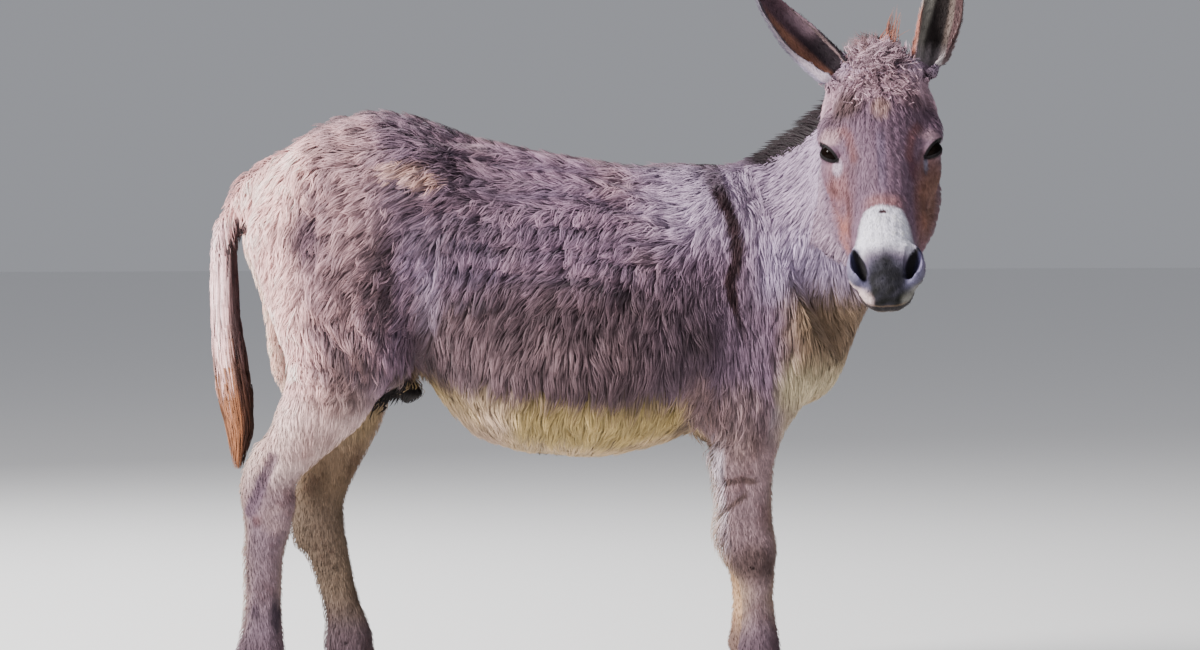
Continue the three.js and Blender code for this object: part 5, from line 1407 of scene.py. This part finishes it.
# %% Hooves
def horn_material():
    material, shader, nodes, link = new_material("hoof horn", 0.6)
    kinds = ("TexCoord", "Mapping", "TexNoise", "TexNoise")
    place, stretch, rings, streaks = (nodes.new("ShaderNode" + kind) for kind in kinds)
    link(place.outputs["Object"], stretch.inputs["Vector"])
    stretch.inputs["Scale"].default_value = (0.15, 0.15, 1)
    link(stretch.outputs["Vector"], rings.inputs["Vector"])
    rings.inputs["Scale"].default_value = 220
    link(place.outputs["Object"], streaks.inputs["Vector"])
    streaks.inputs["Scale"].default_value = 60
    ramp, relief = nodes.new("ShaderNodeValToRGB"), nodes.new("ShaderNodeBump")
    ramp.color_ramp.elements[0].color = (*tone(38, 33, 31), 1)
    ramp.color_ramp.elements[1].color = (*tone(84, 72, 64), 1)
    link(streaks.outputs["Fac"], ramp.inputs["Fac"])
    link(ramp.outputs["Color"], shader.inputs["Base Color"])
    relief.inputs["Strength"].default_value, relief.inputs["Distance"].default_value = 0.6, 0.002
    link(rings.outputs["Fac"], relief.inputs["Height"])
    link(relief.outputs["Normal"], shader.inputs["Normal"])
    return material


horn = horn_material()
for name in ("hoof_front_right", "hoof_front_left", "hoof_hind_right", "hoof_hind_left"):
    hoof = flesh_copy(name)
    hoof.name = name + "_horn"
    bevel = hoof.modifiers.new("Bevel", "BEVEL")
    bevel.width, bevel.segments, bevel.limit_method, bevel.angle_limit = 0.003, 2, "ANGLE", math.radians(40)
    bpy.ops.object.modifier_apply(modifier=bevel.name)
    bpy.ops.object.shade_smooth_by_angle(angle=math.radians(45))
    hoof.data.materials.append(horn)
    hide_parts(name)
    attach(hoof, "root")
print("four hooves")

# %% [markdown]
# ## Mane, forelock and tail
# The mane stands up short and dark along the crest, the forelock curls between the ears, a little dark hair hangs
# at the sheath, and the tail ends in a long switch. These hairs leave the skin, so each set gets its own paths
# instead of creeping.


# %% Free tufts
def bent_path(start, way, droop, length, steps, curl, draw):
    """Paths that leave `start` along `way` and bend over towards `droop`."""
    s = np.linspace(0, 1, steps)[None, :, None]
    side = unit(np.cross(way, droop))[:, None]
    phase = draw.uniform(0, 6.28, (len(start), 1, 1))
    reach = length[:, None, None]
    line = start[:, None] + reach * (way[:, None] * (s - 0.35 * s**2) + droop[:, None] * 0.55 * s**2)
    return line + side * curl * s * np.sin(phase + 5 * s)


def spread_along(line, count, draw):
    """Places along a bent line, with the way it runs there."""
    t = (np.arange(count) + draw.uniform(0, 1, count)) / count * (len(line) - 1)
    i = np.minimum(t.astype(int), len(line) - 2)
    f = (t - i)[:, None]
    smooth_way = np.gradient(line, axis=0)
    way = unit(smooth_way[i] * (1 - f) + smooth_way[i + 1] * f)
    return line[i] * (1 - f) + line[i + 1] * f, way, t / (len(line) - 1)


# %% Mane
draw = np.random.default_rng(51)
at, along, share_up = spread_along(crest_line + origin, 1500, draw)
across = unit(np.cross(along, [0, 0, 1]))
at = at + across * draw.normal(0, 0.008, (len(at), 1))
above = at + [0, 0, 0.08]
hits = [skin_tree.ray_cast(p, (0, 0, -1)) for p in above.tolist()]
at = np.array([h[0] if h[0] is not None else p for h, p in zip(hits, at)])
lean = across * draw.normal(0.10, 0.22, (len(at), 1))
way = unit(np.array([0, 0, 1.0]) + lean - 0.35 * along)
length = 0.052 * draw.uniform(0.75, 1.15, len(at)) * share(share_up, 0.10, 0.40) + 0.012
path = bent_path(at - way * 0.004, way, unit(lean - along * 0.8), length, 4, 0.003, draw)
dark = mixed(np.tile(tone(16, 6, 12), (len(at), 1)), tone(40, 22, 32), draw.uniform(0, 0.5, len(at)))
dark = mixed(dark, tone(160, 140, 166), share(share_up, 0.28, 0.14))
mane = blades("mane", path, np.repeat(across[:, None], 4, 1), np.full(len(at), 0.0045), dark, long_hair)

# %% Forelock
def poll_tufts(name, count, middle, spread, way, scatter_way, length, width, curl, droop, colours, seed):
    """Tufts that rise from the poll round `middle`, in head coordinates, and bend over towards `droop`."""
    draw = np.random.default_rng(seed)
    local = np.array(middle) + draw.normal(0, 1, (count, 3)) * spread
    hits = [skin_tree.ray_cast(p, Vector(-head_turn[:, 2])) for p in from_head(local).tolist()]
    keep = np.array([h[0] is not None and h[3] < 0.14 and belongs(face_region[h[2]], "head") for h in hits])
    start = np.array([h[0] for h, k in zip(hits, keep) if k])
    up = unit((np.array(way) + draw.normal(0, scatter_way, (keep.sum(), 3))) @ head_turn.T)
    reach = length * draw.uniform(0.6, 1.3, len(start))
    path = bent_path(start - up * 0.003, up, unit(np.array([droop]) @ head_turn.T + 0.3 * up), reach, 5, curl, draw)
    facing_up = np.repeat(unit(np.cross(up, head_turn[:, 1]))[:, None], 5, 1)
    path, _, away, own = clumped(path, facing_up, 0.013, 0.75, curl, seed)
    colour = mixed(np.tile(tone(*colours[0]), (len(start), 1)), tone(*colours[1]), draw.uniform(0, 1, len(start)))
    # painted shade between clumps, as in the coat, with a random tone for each clump
    colour = colour * np.clip(1.22 + 0.5 * own - 0.25 * away, 0.45, 1.5)[:, None]
    outwards = unit(0.4 * up + head_turn @ [-0.35, 0, 0.7])
    soft = np.repeat(outwards[:, None], 5, 1)
    return blades(name, path, facing_up, np.full(len(start), width), colour, long_hair, soft_ups=soft)


forelock = [
    poll_tufts(
        "forelock_crown", 1500, [0.000, 0.004, 0.07], [0.016, 0.024, 0], [-0.55, 0, 0.60], 0.34, 0.034, 0.0030, 0.010,
        [0.35, 0.2, 0.8], ((222, 188, 204), (88, 62, 74)), 52,
    ),
    poll_tufts(
        "forelock_curls", 900, [0.046, 0.002, 0.07], [0.020, 0.032, 0], [0.10, 0, 0.80], 0.30, 0.028, 0.0028, 0.006,
        [0.9, 0, 0.1], ((216, 180, 194), (100, 74, 84)), 56,
    ),
    poll_tufts(
        "forelock_rust", 46, [-0.008, 0.016, 0.07], [0.006, 0.006, 0], [-0.85, 0.20, 0.9], 0.16, 0.062, 0.0020, 0.008,
        [-0.8, 0.5, 0.2], ((176, 118, 98), (150, 100, 92)), 54,
    ),
    poll_tufts(
        "forelock_wisps", 170, [-0.006, -0.026, 0.07], [0.010, 0.018, 0], [-0.75, -0.15, 0.8], 0.30, 0.036, 0.0020,
        0.012, [-0.5, -0.4, 0.3], ((150, 120, 124), (118, 92, 100)), 55,
    ),
]

# %% Hair of the sheath
draw = np.random.default_rng(57)
at = np.array([[-0.450, -0.060, 0.622], [-0.425, -0.055, 0.640], [-0.395, -0.040, 0.645]]) + origin
at = at[draw.integers(0, 3, 260)] + draw.normal(0, 1, (260, 3)) * [0.014, 0.012, 0.010]
way = unit(draw.normal(0, 0.35, (260, 3)) + [-0.5, -0.1, -0.8])
dark = np.tile(tone(24, 18, 18), (260, 1)) * draw.uniform(0.5, 1.6, (260, 1))
path = bent_path(at, way, unit(way - [0.4, 0, 0.2]), draw.uniform(0.015, 0.030, 260), 4, 0.004, draw)
to_the_right = np.tile([0, -1.0, 0], (260, 4, 1))
sheath_hair = blades("sheath_hair", path, to_the_right, np.full(260, 0.004), dark, long_hair)

# %% Tail switch
draw = np.random.default_rng(53)
switch_line = origin + [
    [-0.722, -0.004, 0.92], [-0.720, -0.006, 0.776], [-0.712, -0.008, 0.700], [-0.702, -0.008, 0.630],
    [-0.692, -0.008, 0.560], [-0.696, -0.008, 0.484],
]
wide = np.array([0.021, 0.024, 0.029, 0.031, 0.023, 0.006])
count = 2200
steps = 7
begin = draw.uniform(0, 3.6, count)
reach = np.minimum(draw.uniform(0.9, 2.0, count), 4.98 - begin)
angle = draw.uniform(0, 2 * np.pi, count)
place = begin[:, None] + reach[:, None] * np.linspace(0, 1, steps)[None]
i = np.minimum(place.astype(int), 4)
f = place - i
middle = switch_line[i] * (1 - f[:, :, None]) + switch_line[i + 1] * f[:, :, None]
out = np.stack([np.cos(angle), np.sin(angle), 0 * angle], 1)[:, None]
radius = (wide[i] * (1 - f) + wide[i + 1] * f) * (0.45 + 0.55 * draw.uniform(0, 1, count) ** 0.5)[:, None]
wave = 0.004 * np.sin(draw.uniform(0, 6.28, (count, 1)) + 4 * np.linspace(0, 1, steps)[None])
path = middle + out * (radius + wave)[:, :, None]
streak = 1 + 0.45 * np.sin(3.0 * angle + 1.7 * np.sin(2 * angle)) * share(begin, 0.3, 1.5)
colour = tail_colour(path[:, steps // 2] - origin) * (draw.uniform(0.6, 1.25, count) * streak)[:, None]
switch = blades("switch", path, np.repeat(out, steps, 1), np.full(count, 0.0045), colour, long_hair)
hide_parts("tail_switch")

# %% [markdown]
# ## Floor and light
# The donkey stands on a plain pale floor in soft light. A large lamp high on the left of the camera is the key,
# a weaker one fills the shadows from the right, one behind lights the edge of the back, and the pale world lights
# the rest, as an overcast sky does.

# %% Floor
bpy.ops.mesh.primitive_plane_add(size=60, location=(0, 0, 0))
floor = bpy.context.object
floor.name = "floor"
floor_material, floor_shader, _, _ = new_material("pale floor", 0.9)
floor_shader.inputs["Base Color"].default_value = (0.86, 0.86, 0.86, 1)
floor.data.materials.append(floor_material)


# %% Lights
def area_light(name, place, target, size, power, colour=(1, 1, 1)):
    bpy.ops.object.light_add(type="AREA", location=place)
    lamp = bpy.context.object
    lamp.name = name
    lamp.data.size, lamp.data.energy, lamp.data.color = size, power, colour
    lamp.rotation_euler = (Vector(target) - Vector(place)).to_track_quat("-Z", "Y").to_euler()
    return lamp


area_light("key", (-5.2, -2.6, 3.9), (0, 0, 0.9), 1.6, 1280, (1, 0.955, 0.92))
area_light("fill", (3.5, -5.0, 2.6), (0, 0, 0.8), 3.0, 25)
area_light("rim", (-1.6, 4.2, 4.2), (0, 0, 0.9), 2.5, 300)
world = bpy.data.worlds.new("studio")
bpy.context.scene.world = world
world.use_nodes = True
world.node_tree.nodes["Background"].inputs["Color"].default_value = (0.90, 0.92, 1.0, 1)
world.node_tree.nodes["Background"].inputs["Strength"].default_value = 0.36
print("stage set")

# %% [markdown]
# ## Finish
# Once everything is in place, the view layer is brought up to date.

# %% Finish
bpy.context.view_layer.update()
